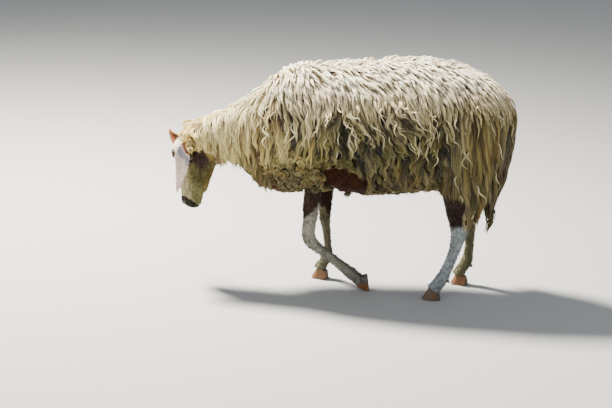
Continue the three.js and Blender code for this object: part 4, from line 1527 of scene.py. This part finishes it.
def shade_locks(rng, lock):
    """Colours of the locks: `colour` towards the tip, and at the root the same colour in painted shade,
    yellowed as by yolk.
    """
    root, leader, stray = lock["root"], lock["leader"], lock["stray"][:, None]
    n = len(root)
    middle = lock["line"][:, LOCK_POINTS // 2]
    tint = rng.random(n)
    tint = np.where(rng.random(n) < 0.6, tint[leader], tint)[:, None]
    bright = rng.uniform(0.72, 1.2, n)
    bright = np.where(rng.random(n) < 0.5, bright[leader], bright)[:, None]
    mood = np.where(tint < 0.30, SHADES["straw"], np.where(tint < 0.42, SHADES["rust"],
                    np.where(tint < 0.6, SHADES["grey_wool"], SHADES["cream"])))
    colour = wool_colour(middle) * 0.86 + mood * 0.14
    # gaps between locks are dark, and rusty on the neck
    shadow = np.maximum(0.8 * lock["edge"] * region_values("parted", lock["region"]), lock["gap"])
    rusty = ease(-root[:, 0], 150, 300)
    colour = colour * bright * (1 - 0.9 * shadow)[:, None]
    colour = blend(colour, SHADES["rust"] * 0.5, shadow * rusty * 0.6)
    # painted shade in the fold of the flank
    colour = colour * (1 - 0.6 * flank_fold(middle))[:, None]
    # strays are painted pale, partly their own paler wool and partly a painted highlight
    stray_tone_and_highlight = colour * 0.2 + SHADES["stray"] * rng.uniform(0.7, 1, (n, 1))
    colour = np.where(stray, stray_tone_and_highlight, colour)
    # at the roots the wool is painted in shade and yellowed as by yolk, with less shade where the wool
    # closes over and on strays
    deep = blend(colour * np.array([0.32, 0.26, 0.17]), SHADES["rust"] * 0.4, 0.45 * rusty)
    deep = blend(deep, colour * 0.55, 0.8 * lock["closed"])
    deep = np.where(stray, colour * 0.6, deep)
    lock.update(colour=colour, deep=deep, uv=unwrapped(root, lock["parts"]))


def widen_locks(rng, lock):
    """Half width and half thickness along each lock, full in the middle and fine at the tip."""
    s = np.linspace(0, 1, LOCK_POINTS)
    body = (0.62 + 0.38 * np.sin(math.pi * np.minimum(s * 1.15, 1))) * (1 - s ** 3.2) + 0.03
    lumps = 1 + 0.14 * np.sin(s[None] * 17 + lock["phase"][:, None] * 3)
    plump = rng.uniform(0.75, 1.2, len(lock["phase"]))
    thick = np.where(lock["stray"], STRAY_LOCK["thick"], plump)[:, None]
    for key, index in (("half_across", 0), ("half_out", 1)):
        lock[key] = region_values("half", lock["region"], index)[:, None] * body * lumps * thick


def strands_round(rng, lock):
    """Thin strands that wind round the locks: for each batch its locks, shape, colours and place."""
    s = np.linspace(0, 1, LOCK_POINTS)
    stray, region = lock["stray"], lock["region"]
    count = np.where(stray, 2, region_values("strands", region).astype(int))
    thin = np.where(stray, STRAY_LOCK["strand"], np.where(in_region(region, "back"), 0.82, 1))
    batches = []
    for i in range(count.max()):
        chosen = np.flatnonzero(count > i)
        m = len(chosen)
        angle = 2 * math.pi * (i + rng.uniform(-0.3, 0.3, m)) / count[chosen]
        angle = angle[:, None] + rng.uniform(-1.6, 1.6, m)[:, None] * s[None]
        spread = 1.12 - 0.3 * s[None] + rng.uniform(-0.1, 0.25, m)[:, None]
        loose = (rng.random(m) < 0.18)[:, None] * s[None] ** 1.5
        spread = spread + loose * rng.uniform(0.8, 2.2, m)[:, None]
        aside = (lock["half_across"][chosen] + 0.5) * spread * np.cos(angle)
        outside = (lock["half_out"][chosen] + 0.5) * spread * np.abs(np.sin(angle)) * 1.1
        out = lock["out"][chosen]
        line = (lock["line"][chosen] + lock["across"][chosen] * aside[..., None]
                + out * outside[..., None])
        line = waved(line, *frames_along(line, out), rng.uniform(0.6, 1.8, m),
                     lock["length"][chosen], rng.uniform(0, 2 * math.pi, m), rng.uniform(22, 45, m))
        # some strands run on past the lock's tip, some stop short
        line = stretched(line, rng.uniform(0.72, 1.12, m))
        radius = rng.uniform(1.0, 1.9, m)[:, None] * (0.8 + 0.2 * s[None]) * (1 - s[None] ** 2.6)
        radius = radius * thin[chosen][:, None] + 0.15
        # strands on the outer face of a lock are painted lighter and those at its sides dimmer: painted
        # shading that rounds each lock
        facing = np.abs(np.sin(angle[:, LOCK_POINTS // 2]))
        lift = (rng.uniform(0.86, 1.30, m) * (0.70 + 0.42 * facing))[:, None]
        tip = np.minimum(lock["colour"][chosen] * lift, 0.92)
        batches.append(dict(
            lock=chosen, shape=(line, *frames_along(line, out), radius, radius),
            ends=np.stack([lock["deep"][chosen] * 1.15, tip]),
            uv=lock["uv"][chosen] + rng.uniform(-1, 1, (m, 2)) * PATCH,
        ))
    return batches


def fleece_piece(name, points, mine, lock, strands):
    """One piece of the fleece: the cores of its locks and the strands round them."""
    core = (lock[key][mine] for key in ("line", "across", "out", "half_across", "half_out"))
    deep, colour = lock["deep"][mine], lock["colour"][mine]
    # cores and strands run from painted shade, yellowed as by yolk, at the root to the lock's colour at
    # the tip
    batches = [dict(
        shape=tuple(resampled(v, points) for v in core) + (LOCK_SIDES,),
        colour=tube_colours(deep, colour * 0.92, points, LOCK_SIDES, 0.7),
        uv=lock["uv"][mine],
    )]
    for strand in strands:
        on = mine[strand["lock"]]
        if on.any():
            batches.append(dict(
                shape=tuple(resampled(v[on], points) for v in strand["shape"]) + (STRAND_SIDES,),
                colour=tube_colours(*strand["ends"][:, on], points, STRAND_SIDES, 0.55),
                uv=strand["uv"][on],
            ))
    points, faces, colours, places = join_tubes(batches)
    piece = new_mesh(name, points, faces)
    set_colour(piece.data, "coat", colours)
    set_unwrap(piece.data, places)
    return piece


def wool_pieces():
    """All long wool, split into the pieces of the fleece."""
    rng = np.random.default_rng(SEED + 2)
    lock = lay_locks(rng, planned_locks(rng))
    wave_locks(rng, lock)
    shade_locks(rng, lock)
    widen_locks(rng, lock)
    strands = strands_round(rng, lock)
    left = lock["root"][:, 1] < 0
    pieces = []
    for name in WOOL_NAMES:
        mine = in_region(lock["region"], name)
        sides = {"": mine}
        if name in TWO_SIDED:
            sides = {"_left": mine & left, "_right": mine & ~left}
        for side, chosen in sides.items():
            pieces.append(fleece_piece(f"wool_{name}{side}", WOOL[name]["points"], chosen, lock,
                                       strands))
    return pieces


wool = wool_pieces()

# ---------------------------------------------------------------- eyes, hooves and dewclaws


def lathe_faces(rings, around):
    """Quads of a grid of rings, closed round."""
    k, j = np.meshgrid(np.arange(rings - 1), np.arange(around), indexing="ij")
    a, b = k * around + j, k * around + (j + 1) % around
    return np.stack([a, b, b + around, a + around], -1).reshape(-1, 4)


def capped(grid, first, last):
    """Points and faces of a grid of rings whose two ends close on a point each."""
    rings, around = grid.shape[:2]
    points = np.concatenate([grid.reshape(-1, 3), [first, last]])
    j = np.arange(around)
    top = (rings - 1) * around
    start = np.stack([(j + 1) % around, j, np.full(around, len(points) - 2)], 1)
    end = np.stack([top + j, top + (j + 1) % around, np.full(around, len(points) - 1)], 1)
    return points, [np.concatenate([start, end]), lathe_faces(rings, around)]


CORNEA = {"rise": 1.4, "spread": 0.62}
IRIS = {"radius": 9.0, "pupil": (5.6, 1.9)}


def eyeball(side):
    rings, around = 44, 72
    polar = np.linspace(0.04, math.pi - 0.04, rings)[:, None]
    turn = 2 * math.pi * np.arange(around)[None] / around
    bulge = CORNEA["rise"] * np.maximum(0, 1 - (polar / CORNEA["spread"]) ** 2)
    reach = (EYE_RADIUS + bulge) * np.ones_like(turn)
    c, s = math.cos(EYE_OPENING["turn"]), math.sin(EYE_OPENING["turn"])
    length = reach * np.sin(polar) * np.cos(turn)
    height = reach * np.sin(polar) * np.sin(turn)
    out = reach * np.cos(polar)
    local = np.stack([length * c + height * s, -length * s + height * c, out * side], -1)
    ends = [np.array([0, 0, sign * side * EYE_RADIUS]) for sign in (1.09, -1)]
    points, faces = capped(local, *ends)
    seen = np.stack([np.append(length, (0, 0)), np.append(height, (0, 0)),
                     np.append(out, (EYE_RADIUS, -EYE_RADIUS))], 1)
    radius = np.hypot(seen[:, 0], seen[:, 1])
    rays = np.sin(np.arctan2(seen[:, 1], seen[:, 0]) * 37) * 0.5 + 0.5
    colour = blend(shade("amber", len(seen)), SHADES["iris_rim"], 0.15 + 0.3 * rays)
    colour = blend(colour, SHADES["iris_rim"], ease(radius, 0.74 * IRIS["radius"], IRIS["radius"]))
    colour = blend(colour, SHADES["eye_rim"] * 0.8, ease(radius, IRIS["radius"], IRIS["radius"] + 1.5))
    slot = (np.abs(seen[:, 0]) / IRIS["pupil"][0]) ** 3 + (np.abs(seen[:, 1]) / IRIS["pupil"][1]) ** 3
    pupil = fade(slot, 0.8, 1.3) * (seen[:, 2] > 0)
    colour = blend(colour, SHADES["pupil"], pupil)
    eye = new_mesh("eye_left" if side > 0 else "eye_right", on_head(points + EYE * np.array([1, 1, side])),
                   faces)
    set_colour(eye.data, "coat", colour)
    return eye


def standing(p):
    """Places given in the pitched animal, carried back to its drawn frame."""
    return drawn((p + FRAME_SHIFT) * MM)


CLAW_SLOPE = {"start": 0.06, "toe": 0.34, "heel": 0.05}
CLAW_TOE = {"width": 0.72, "close": 1.5}
GROWTH_RINGS = {"count": 9, "depth": 0.28}


def claw(name, which, side):
    levels, around = 26, 44
    share = np.linspace(0, 1, levels)[:, None]
    turn = 2 * math.pi * np.arange(around)[None] / around
    size = 1 - (1 - CLAW["flare"]) * share
    back = 0.5 - 0.5 * np.cos(turn)
    plump = CLAW_TOE["width"] + (1 - CLAW_TOE["width"]) * back
    rings = GROWTH_RINGS["depth"] * np.sin(share * 2 * math.pi * GROWTH_RINGS["count"] + 3 * back)
    outward = np.where(side * np.sin(turn) > 0, 1.0, 0.86)
    bulge = np.sin(turn) * (plump * (CLAW["width"] / 2 - 0.4) * size * outward + rings * (1 - back))
    front = CLAW["length"] * (CLAW_SLOPE["start"] + CLAW_SLOPE["toe"] * share) + rings + 0.3
    rear = CLAW["length"] * (1 - CLAW_SLOPE["heel"] * share) - 0.4
    x = front * (1 - back) + rear * back
    rest = side * (CLAW["width"] / 2 + CLAW["split"] - CLAW_TOE["close"] * (1 - back))
    height = share * (CLAW["toe"] + (CLAW["heel"] - CLAW["toe"]) * back)
    height = height + 2.2 * ease(back, 0.8, 1) * (1 - share) ** 4
    grid = np.stack([x, rest + bulge, height * np.ones_like(x)], -1)
    sole = grid[0].mean(0) + (0, 0, 1.6)
    points, faces = capped(grid, sole, grid[-1].mean(0))
    toe, degrees = FEET[name]
    c, s = math.cos(math.radians(degrees)), math.sin(math.radians(degrees))
    turned_points = np.stack([points[:, 0] * c + points[:, 2] * s, points[:, 1],
                              -points[:, 0] * s + points[:, 2] * c], 1) + toe
    turned_points[:, 2] = np.maximum(turned_points[:, 2], 0)
    level = np.append((share * np.ones_like(turn)).ravel(), (0, 1))
    behind = np.append((back * np.ones_like(share)).ravel(), (0.5, 0.5))
    bands = 0.5 + 0.5 * np.sin(level * 2 * math.pi * GROWTH_RINGS["count"] + 3 * behind + 1)
    # painted shade: the near hind hoof is darker and greyer
    darker = 0.35 if name == "hind_left" else 0
    colour = blend(shade("horn", len(level)), SHADES["horn_dark"],
                   0.25 + darker + 0.35 * bands + 0.25 * ripples(turned_points, 9, 161))
    colour = blend(colour, SHADES["sole"], darker)
    grey_from = 0.42 if name == "fore_left" else 0.74
    colour = blend(colour, SHADES["sole"], ease(behind + 0.1 * ripples(turned_points, 6, 162),
                                                grey_from, grey_from + 0.16))
    colour = blend(colour, SHADES["sole"], fade(level, 0.015, 0.05))
    piece = new_mesh(f"claw_{name}_{which}", standing(turned_points), faces)
    set_colour(piece.data, "coat", colour)
    return piece


def dewclaw(name, which, side):
    rings, around = 18, 28
    place, point = DEWCLAWS[name]
    along = unit(point)
    across = np.array([0.0, -1.0, 0.0])
    upward = np.cross(along, across)
    polar = np.linspace(0.1, math.pi - 0.1, rings)[:, None]
    turn = 2 * math.pi * np.arange(around)[None] / around
    wide = 0.72 * DEWCLAW["radius"] * np.sin(polar) ** 0.8
    grid = (along * (DEWCLAW["length"] / 2 * np.cos(polar) * np.ones_like(turn))[..., None]
            + across * (wide * np.cos(turn))[..., None] + upward * (wide * np.sin(turn))[..., None])
    root = np.array(place) + across * side * DEWCLAW["apart"] - along * 3.5
    ends = [along * DEWCLAW["length"] / 2 * sign for sign in (1, -1)]
    points, faces = capped(grid, *ends)
    piece = new_mesh(f"dewclaw_{name}_{which}", points + root, faces)
    set_colour(piece.data, "coat", blend(shade("horn_dark", len(points)), SHADES["sole"],
                                         0.5 + 0.4 * ripples(points + root, 7, 163)))
    return piece


def horn_pieces():
    pieces = []
    for name in LEGS:
        mirror = 1 if name.endswith("left") else -1
        for which, sign in (("outer", -1), ("inner", 1)):
            pieces.append(claw(name, which, sign * mirror))
            pieces.append(dewclaw(name, which, -sign * mirror))
    return pieces


eyes = [eyeball(side) for side in (1, -1)]
horn = horn_pieces()

# ---------------------------------------------------------------- short hair


def direction(v):
    """Directions of the drawn animal, pitched."""
    return pitched(v + PITCH_CENTRE) - PITCH_CENTRE


def hair_lie(p, parts, normal):
    """Direction in which the short hair lies at points of the skin."""
    lie = np.tile([0.35, 0.0, -1.0], (len(p), 1))
    for name, on in by_part(parts):
        if name == "head":
            q = (p[on] - POLL) @ HEAD_AXES.T
            jaw = 0.45 * ease(q[:, 1], 30, 95)[:, None]
            lie[on] = HEAD_AXES[1] * jaw - HEAD_AXES[0]
        elif name in LIMBS or name in EARS:
            limb = LIMBS.get(name) or EARS[name]
            place = limb.locate(p[on])[0]
            lie[on] = limb.at(limb.along, place)
    lie = lie + 0.35 * np.stack([ripples(p, 34, 171 + i) for i in range(3)], 1)
    return unit(lie - normal * dot(lie, normal)[:, None])


# Pieces of short hair: the parts they cover, tufts for each square metre, length and width of a
# tuft in millimetres, slot
HAIR = {
    "hair_face": (("head",), 80000, 6.0, 0.95, "face_hair"),
    "hair_ears": (("ear_left", "ear_right"), 66000, 7.0, 0.85, "ear"),
    "hair_fore_legs": (("fore_left", "fore_right"), 36000, 9.0, 1.1, "short_hair"),
    "hair_hind_legs": (("hind_left", "hind_right"), 36000, 9.5, 1.1, "leg_wool"),
    "hair_belly": (("trunk", "udder"), 56000, 11.0, 1.1, "short_hair"),
}


def hair_density(p, parts, wool):
    """1 where short hair stands, 0 under wool, on the eyes, lips and nostrils."""
    names, which = nearest_part(parts)
    density = (1 - np.clip(wool, 0, 1)) * np.ones(len(p))
    q = (p - POLL) @ HEAD_AXES.T
    head = which == names.index("head")
    for side in (-1, 1):
        eye = eye_axes(q, side)
        rim = np.hypot(eye[:, 0] / 17, eye[:, 1] / 12)
        density[head & (rim < 1) & (eye[:, 2] > 0)] = 0
    nostril = np.hypot((q[:, 0] - 234) / 12, (q[:, 1] - 4) / 8)
    lips = (np.abs(q[:, 1] - 43) < 2.5) & (q[:, 0] > 206)
    density[head & ((nostril < 1) | lips)] = 0
    return density


def tuft_mesh():
    """Two thin blades side by side, a unit wide and long, along z with y outward."""
    points, faces, patch = [], [], []
    for offset, reach, fan in ((-0.65, 1.0, -0.35), (0.7, 0.86, 0.5)):
        start = len(points)
        for level, wide in ((0.0, 0.62), (0.5, 0.5)):
            for k in range(3):
                turn = 2 * math.pi * k / 3 + math.pi / 2
                x = offset + fan * level + wide * math.cos(turn)
                y = 0.55 * wide * math.sin(turn) + 0.5 * level
                points.append((x, y, reach * level))
                patch.append((offset / 3, level - 0.5, 0))
        points.append((offset + fan, 0.15, reach))
        patch.append((offset / 3, 0.5, 0))
        for k in range(3):
            a, b = start + k, start + (k + 1) % 3
            faces += [(a, b, b + 3, a + 3), (a + 3, b + 3, start + 6)]
    mesh = bpy.data.meshes.new("tuft")
    mesh.from_pydata(points, [], faces)
    mesh.polygons.foreach_set("use_smooth", [True] * len(faces))
    set_values(mesh, "patch", "FLOAT_VECTOR", "vector", patch)
    return new_object("tuft", mesh)


def node_adder(tree):
    """A function that adds a node: its kind, what feeds its sockets, and its settings."""
    def add(kind, feeds=(), **settings):
        node = tree.nodes.new(kind)
        for name, value in settings.items():
            setattr(node, name, value)
        for socket, value in dict(feeds).items():
            if isinstance(value, bpy.types.NodeSocket):
                tree.links.new(value, node.inputs[socket])
            else:
                node.inputs[socket].default_value = value
        return node

    return add


def hair_tree():
    """Node tree that strews tufts over a skin, each lying the way the hair lies."""
    tree = bpy.data.node_groups.new("short_hair", "GeometryNodeTree")
    face = tree.interface
    face.new_socket("Skin", in_out="INPUT", socket_type="NodeSocketGeometry")
    for name, kind, value in (
        ("Density", "Float", 60000.0), ("Length", "Float", 0.006), ("Width", "Float", 0.001),
        ("Lift", "Float", 0.3), ("Seed", "Int", 1), ("Tuft", "Object", None),
        ("Material", "Material", None),
    ):
        socket = face.new_socket(name, in_out="INPUT", socket_type="NodeSocket" + kind)
        if value is not None:
            socket.default_value = value
    face.new_socket("Hair", in_out="OUTPUT", socket_type="NodeSocketGeometry")
    add = node_adder(tree)
    given = add("NodeGroupInput").outputs

    def read(name, kind):
        return add("GeometryNodeInputNamedAttribute", {"Name": name}, data_type=kind).outputs[0]

    def store(geometry, name, kind, value):
        node = add("GeometryNodeStoreNamedAttribute", {"Name": name, "Geometry": geometry},
                   data_type=kind, domain="POINT")
        tree.links.new(value, node.inputs["Value"])
        return node.outputs["Geometry"]

    def maths(operation, a, b):
        return add("ShaderNodeMath", {0: a, 1: b}, operation=operation).outputs[0]

    def vectors(operation, a, b):
        second = "Scale" if operation == "SCALE" else 1
        return add("ShaderNodeVectorMath", {0: a, second: b}, operation=operation).outputs[0]

    def chance(low, high, seed):
        node = add("FunctionNodeRandomValue", data_type="FLOAT")
        ends = [i for i in node.inputs if i.name in ("Min", "Max") and i.enabled]
        for socket, value in zip(ends, (low, high)):
            socket.default_value = value
        tree.links.new(maths("ADD", given["Seed"], seed), node.inputs["Seed"])
        return next(o for o in node.outputs if o.enabled)

    density = maths("MULTIPLY", given["Density"], read("hair", "FLOAT"))
    strew = add("GeometryNodeDistributePointsOnFaces", {
        "Mesh": given["Skin"], "Seed": given["Seed"], "Density": density,
    }, distribute_method="RANDOM")
    where = add("GeometryNodeInputPosition").outputs[0]
    roots = store(strew.outputs["Points"], "root", "FLOAT_VECTOR", where)
    roots = store(roots, "tint", "FLOAT", chance(0.78, 1.16, 3))
    # a tuft leans out of the skin and sways a little to one side
    lie, outward = read("lie", "FLOAT_VECTOR"), strew.outputs["Normal"]
    lift = maths("MULTIPLY", given["Lift"], chance(0.5, 1.4, 4))
    sway = vectors("SCALE", vectors("CROSS_PRODUCT", lie, outward), chance(-0.3, 0.3, 5))
    aim = vectors("ADD", vectors("ADD", lie, vectors("SCALE", outward, lift)), sway)
    along = add("FunctionNodeAlignRotationToVector", {"Vector": aim}, axis="Z")
    flat = add("FunctionNodeAlignRotationToVector", {
        "Rotation": along.outputs["Rotation"], "Vector": outward,
    }, axis="Y", pivot_axis="Z")
    wide = maths("MULTIPLY", given["Width"], chance(0.75, 1.25, 6))
    tall = maths("MULTIPLY", given["Length"], chance(0.65, 1.25, 7))
    size = add("ShaderNodeCombineXYZ", {"X": wide, "Y": wide, "Z": tall})
    tuft = add("GeometryNodeObjectInfo", {"Object": given["Tuft"]})
    copies = add("GeometryNodeInstanceOnPoints", {
        "Points": roots, "Instance": tuft.outputs["Geometry"],
        "Rotation": flat.outputs["Rotation"], "Scale": size.outputs[0],
    })
    real = add("GeometryNodeRealizeInstances", {0: copies.outputs[0]})
    # tufts are a little brighter at their tips
    place = add("ShaderNodeSeparateXYZ", {0: read("patch", "FLOAT_VECTOR")})
    tips = maths("ADD", maths("MULTIPLY", place.outputs["Y"], 0.28), 1.02)
    painted = vectors("SCALE", read("coat", "FLOAT_COLOR"), maths("MULTIPLY", read("tint", "FLOAT"), tips))
    finished = store(real.outputs[0], "coat", "FLOAT_COLOR", painted)
    dress = add("GeometryNodeSetMaterial", {"Geometry": finished, "Material": given["Material"]})
    add("NodeGroupOutput", {0: dress.outputs[0]})
    return tree


def hair_piece(name, tree, tuft, material, mask):
    """One piece of short hair: the tree worked over the part of the skin it covers."""
    _, density, length, width, _ = HAIR[name]
    piece = new_object(name, skin.data.copy())
    set_values(piece.data, "hair", "FLOAT", "value", mask)
    modifier = piece.modifiers.new("short_hair", "NODES")
    modifier.node_group = tree
    sockets = {item.name: item.identifier for item in tree.interface.items_tree
               if item.in_out == "INPUT"}
    for key, value in (("Density", float(density) * 1.0),
                       ("Length", length * MM), ("Width", width * MM * 1.0),
                       ("Seed", SEED + 20), ("Tuft", tuft), ("Material", material)):
        modifier[sockets[key]] = value
    as_plain_mesh(piece)
    mesh = piece.data
    root, patch = (np.empty(len(mesh.vertices) * 3, np.float32) for _ in range(2))
    mesh.attributes["root"].data.foreach_get("vector", root)
    mesh.attributes["patch"].data.foreach_get("vector", patch)
    size = len(tuft.data.vertices)
    root = drawn(root.reshape(-1, 3)[::size].astype(float))
    places = unwrapped(root, part_fields(root)).repeat(size, 0)
    set_unwrap(mesh, places + patch.reshape(-1, 3)[:, :2] * PATCH)
    for spare in ("root", "patch", "tint", "lie", "hair"):
        if spare in mesh.attributes:
            mesh.attributes.remove(mesh.attributes[spare])
    return piece


def hair_pieces(material):
    """The pieces of short hair, by name."""
    normal = np.empty(len(skin.data.vertices) * 3, np.float32)
    skin.data.vertex_normals.foreach_get("vector", normal)
    lie = hair_lie(skin_points, skin_parts, normal.reshape(-1, 3).astype(float))
    set_values(skin.data, "lie", "FLOAT_VECTOR", "vector", direction(lie))
    density = hair_density(skin_points, skin_parts, skin_wool)
    names, which = nearest_part(skin_parts)
    part = np.array(names)[which]
    tree, tuft = hair_tree(), tuft_mesh()
    pieces = {name: hair_piece(name, tree, tuft, material, density * np.isin(part, covers))
              for name, (covers, *_) in HAIR.items()}
    skin.data.attributes.remove(skin.data.attributes["lie"])
    bpy.data.objects.remove(tuft)
    return pieces


# ---------------------------------------------------------------- materials


def new_material(name, roughness, **constants):
    """An empty principled material and its shader."""
    material = bpy.data.materials.new(name)
    material.use_nodes = True
    shader = material.node_tree.nodes["Principled BSDF"]
    shader.inputs["Roughness"].default_value = roughness
    for socket, value in constants.items():
        shader.inputs[socket.replace("_", " ")].default_value = value
    return material, shader


def hair_grain_group():
    """Fine upright streaks and soft blotches that break up a coat's colour."""
    group = bpy.data.node_groups.new("hair_grain", "ShaderNodeTree")
    face = group.interface
    face.new_socket("Colour", in_out="INPUT", socket_type="NodeSocketColor")
    for name, value in (("Streaks", 420.0), ("Stretch", 0.2), ("Blotches", 30.0), ("Depth", 0.35)):
        socket = face.new_socket(name, in_out="INPUT", socket_type="NodeSocketFloat")
        socket.default_value = value
    face.new_socket("Colour", in_out="OUTPUT", socket_type="NodeSocketColor")
    face.new_socket("Height", in_out="OUTPUT", socket_type="NodeSocketFloat")
    add = node_adder(group)
    given = add("NodeGroupInput").outputs
    place = add("ShaderNodeTexCoord").outputs["Object"]
    stretch = add("ShaderNodeCombineXYZ", {"X": 1, "Y": 1, "Z": given["Stretch"]})
    squeezed = add("ShaderNodeVectorMath", {0: place, 1: stretch.outputs[0]}, operation="MULTIPLY")
    streaks = add("ShaderNodeTexNoise", {
        "Vector": squeezed.outputs[0], "Scale": given["Streaks"], "Detail": 4,
    }).outputs["Fac"]
    blotches = add("ShaderNodeTexNoise", {
        "Vector": place, "Scale": given["Blotches"], "Detail": 3,
    }).outputs["Fac"]
    both = add("ShaderNodeMath", {0: streaks, 1: blotches}, operation="ADD")
    centred = add("ShaderNodeMath", {0: both.outputs[0], 1: 1.0}, operation="SUBTRACT")
    scaled = add("ShaderNodeMath", {0: centred.outputs[0], 1: given["Depth"], 2: 1.0},
                 operation="MULTIPLY_ADD")
    tone = add("ShaderNodeVectorMath", {0: given["Colour"], "Scale": scaled.outputs[0]},
               operation="SCALE")
    add("NodeGroupOutput", {"Colour": tone.outputs[0], "Height": streaks})
    return group


HAIR_GRAIN = hair_grain_group()


def coat_material(name, roughness, grain, bump, **constants):
    """A coat finish: painted markings, broken up by the hair's own grain."""
    material, shader = new_material(name, roughness, **constants)
    add, links = node_adder(material.node_tree), material.node_tree.links
    painted = add("ShaderNodeAttribute", attribute_name="coat").outputs["Color"]
    grained = add("ShaderNodeGroup", node_tree=HAIR_GRAIN)
    links.new(painted, grained.inputs["Colour"])
    for socket, value in grain.items():
        grained.inputs[socket].default_value = value
    ridges = add("ShaderNodeBump", {
        "Strength": bump, "Distance": 0.001, "Height": grained.outputs["Height"],
    })
    links.new(grained.outputs["Colour"], shader.inputs["Base Color"])
    links.new(ridges.outputs["Normal"], shader.inputs["Normal"])
    return material


SKIN = coat_material("short_hair_skin", 0.7,
                     {"Streaks": 520.0, "Stretch": 0.22, "Blotches": 34.0, "Depth": 0.35}, 0.4,
                     Specular_IOR_Level=0.12, Sheen_Weight=0.04, Sheen_Roughness=0.5)
FLEECE = coat_material("fleece_wool", 0.85,
                       {"Streaks": 300.0, "Stretch": 0.5, "Blotches": 60.0, "Depth": 0.55}, 0.3,
                       Specular_IOR_Level=0.2, Sheen_Weight=0.15, Sheen_Roughness=0.6)

HAIR_FINISH = coat_material("short_hair_tufts", 0.62,
                            {"Streaks": 300.0, "Stretch": 0.5, "Blotches": 60.0, "Depth": 0.25},
                            0.1, Specular_IOR_Level=0.12)
HORN = coat_material("hoof_horn", 0.48,
                     {"Streaks": 260.0, "Stretch": 0.16, "Blotches": 90.0, "Depth": 0.6}, 0.35,
                     Specular_IOR_Level=0.45)


def eye_material():
    material, shader = new_material("wet_eye", 0.12, Coat_Weight=0.35, Coat_Roughness=0.02, IOR=1.34)
    painted = node_adder(material.node_tree)("ShaderNodeAttribute", attribute_name="coat")
    material.node_tree.links.new(painted.outputs["Color"], shader.inputs["Base Color"])
    return material


WET_EYE = eye_material()
hair = hair_pieces(HAIR_FINISH)

# ---------------------------------------------------------------- riding on the frame

FLESH = ["trunk", "neck", "head", "ear_left", "ear_right", "tail", "udder",
         *(f"leg_{name}" for name in LEGS)]
skin.data.materials.append(SKIN)
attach(skin, "root")
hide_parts(*FLESH)
for piece in wool:
    piece.data.materials.append(FLEECE)
    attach(piece, "root")
for name, piece in hair.items():
    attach(piece, "root")
for pieces, finish, slot in ((eyes, WET_EYE, "eye"), (horn, HORN, "horn")):
    for piece in pieces:
        node = piece.name.split(".")[0]
        piece.data.materials.append(finish)
        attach(piece, "root")
        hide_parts(node)

# ---------------------------------------------------------------- floor, light and camera

FLOOR = {"half_size": 14, "colour": (0.37, 0.37, 0.36, 1)}
# Round lamps, all aimed at the middle of the body: place, size, power, tint
LIGHT_AIM = Vector((0, 0, 0.45))
LIGHTS = (
    ("key", (-1.7, 1.1, 3.4), 0.8, 1290, (1.0, 0.95, 0.86)),
    ("fill", (-1.4, -3.6, 1.8), 2.6, 52, (0.96, 0.98, 1.0)),
    ("tail_fill", (3.2, -1.2, 1.6), 2.0, 20, (0.95, 0.97, 1.0)),
)
SKY = {"colour": (0.86, 0.92, 1.0, 1), "strength": 0.6}
# Place and tilt in the drawn animal's own millimetres and axes
CAMERA = {"place": (-120, -5000, 1530), "down": math.radians(13.9), "lens": 93.8}


def turned(point):
    """A place seen from the level-backed animal, in the pitched frame."""
    return Vector(placed(np.array(point, float)))


def make_floor():
    size = FLOOR["half_size"]
    corners = [(-size, -size, 0), (size, -size, 0), (size, size, 0), (-size, size, 0)]
    mesh = bpy.data.meshes.new("studio_floor")
    mesh.from_pydata(corners, [], [(0, 1, 2, 3)])
    material, shader = new_material("studio_paper", 0.9, Specular_IOR_Level=0.1)
    shader.inputs["Base Color"].default_value = FLOOR["colour"]
    mesh.materials.append(material)
    new_object("studio_floor", mesh)


def soft_light(name, place, size, power, tint):
    """A round lamp that is turned towards the animal."""
    data = bpy.data.lights.new(name, "AREA")
    data.shape, data.size, data.energy, data.color = "DISK", size, power, tint
    lamp = new_object(name, data)
    lamp.location = place
    lamp.rotation_mode = "QUATERNION"
    lamp.rotation_quaternion = (LIGHT_AIM - Vector(place)).to_track_quat("-Z", "Y")


def make_lights():
    for name, place, size, power, tint in LIGHTS:
        soft_light(name, place, size, power, tint)
    world = bpy.data.worlds.new("studio")
    bpy.context.scene.world = world
    world.use_nodes = True
    background = world.node_tree.nodes["Background"]
    background.inputs["Color"].default_value = SKY["colour"]
    background.inputs["Strength"].default_value = SKY["strength"]


def make_camera():
    data = bpy.data.cameras.new("camera")
    data.lens, data.sensor_width = CAMERA["lens"], 36
    camera = new_object("camera", data)
    place = np.array(CAMERA["place"], float)
    down = CAMERA["down"]
    ahead = np.array([0, math.cos(down), -math.sin(down)])
    above = np.array([0, math.sin(down), math.cos(down)])
    origin = turned(place)
    forward = (turned(place + ahead * 100) - origin).normalized()
    upward = (turned(place + above * 100) - origin).normalized()
    rightward = forward.cross(upward)
    camera.matrix_world = Matrix.Translation(origin) @ Matrix(
        (rightward, upward, -forward)).transposed().to_4x4()
    data.clip_end = 50
    bpy.context.scene.camera = camera


make_floor()
make_lights()
make_camera()

bpy.context.view_layer.update()
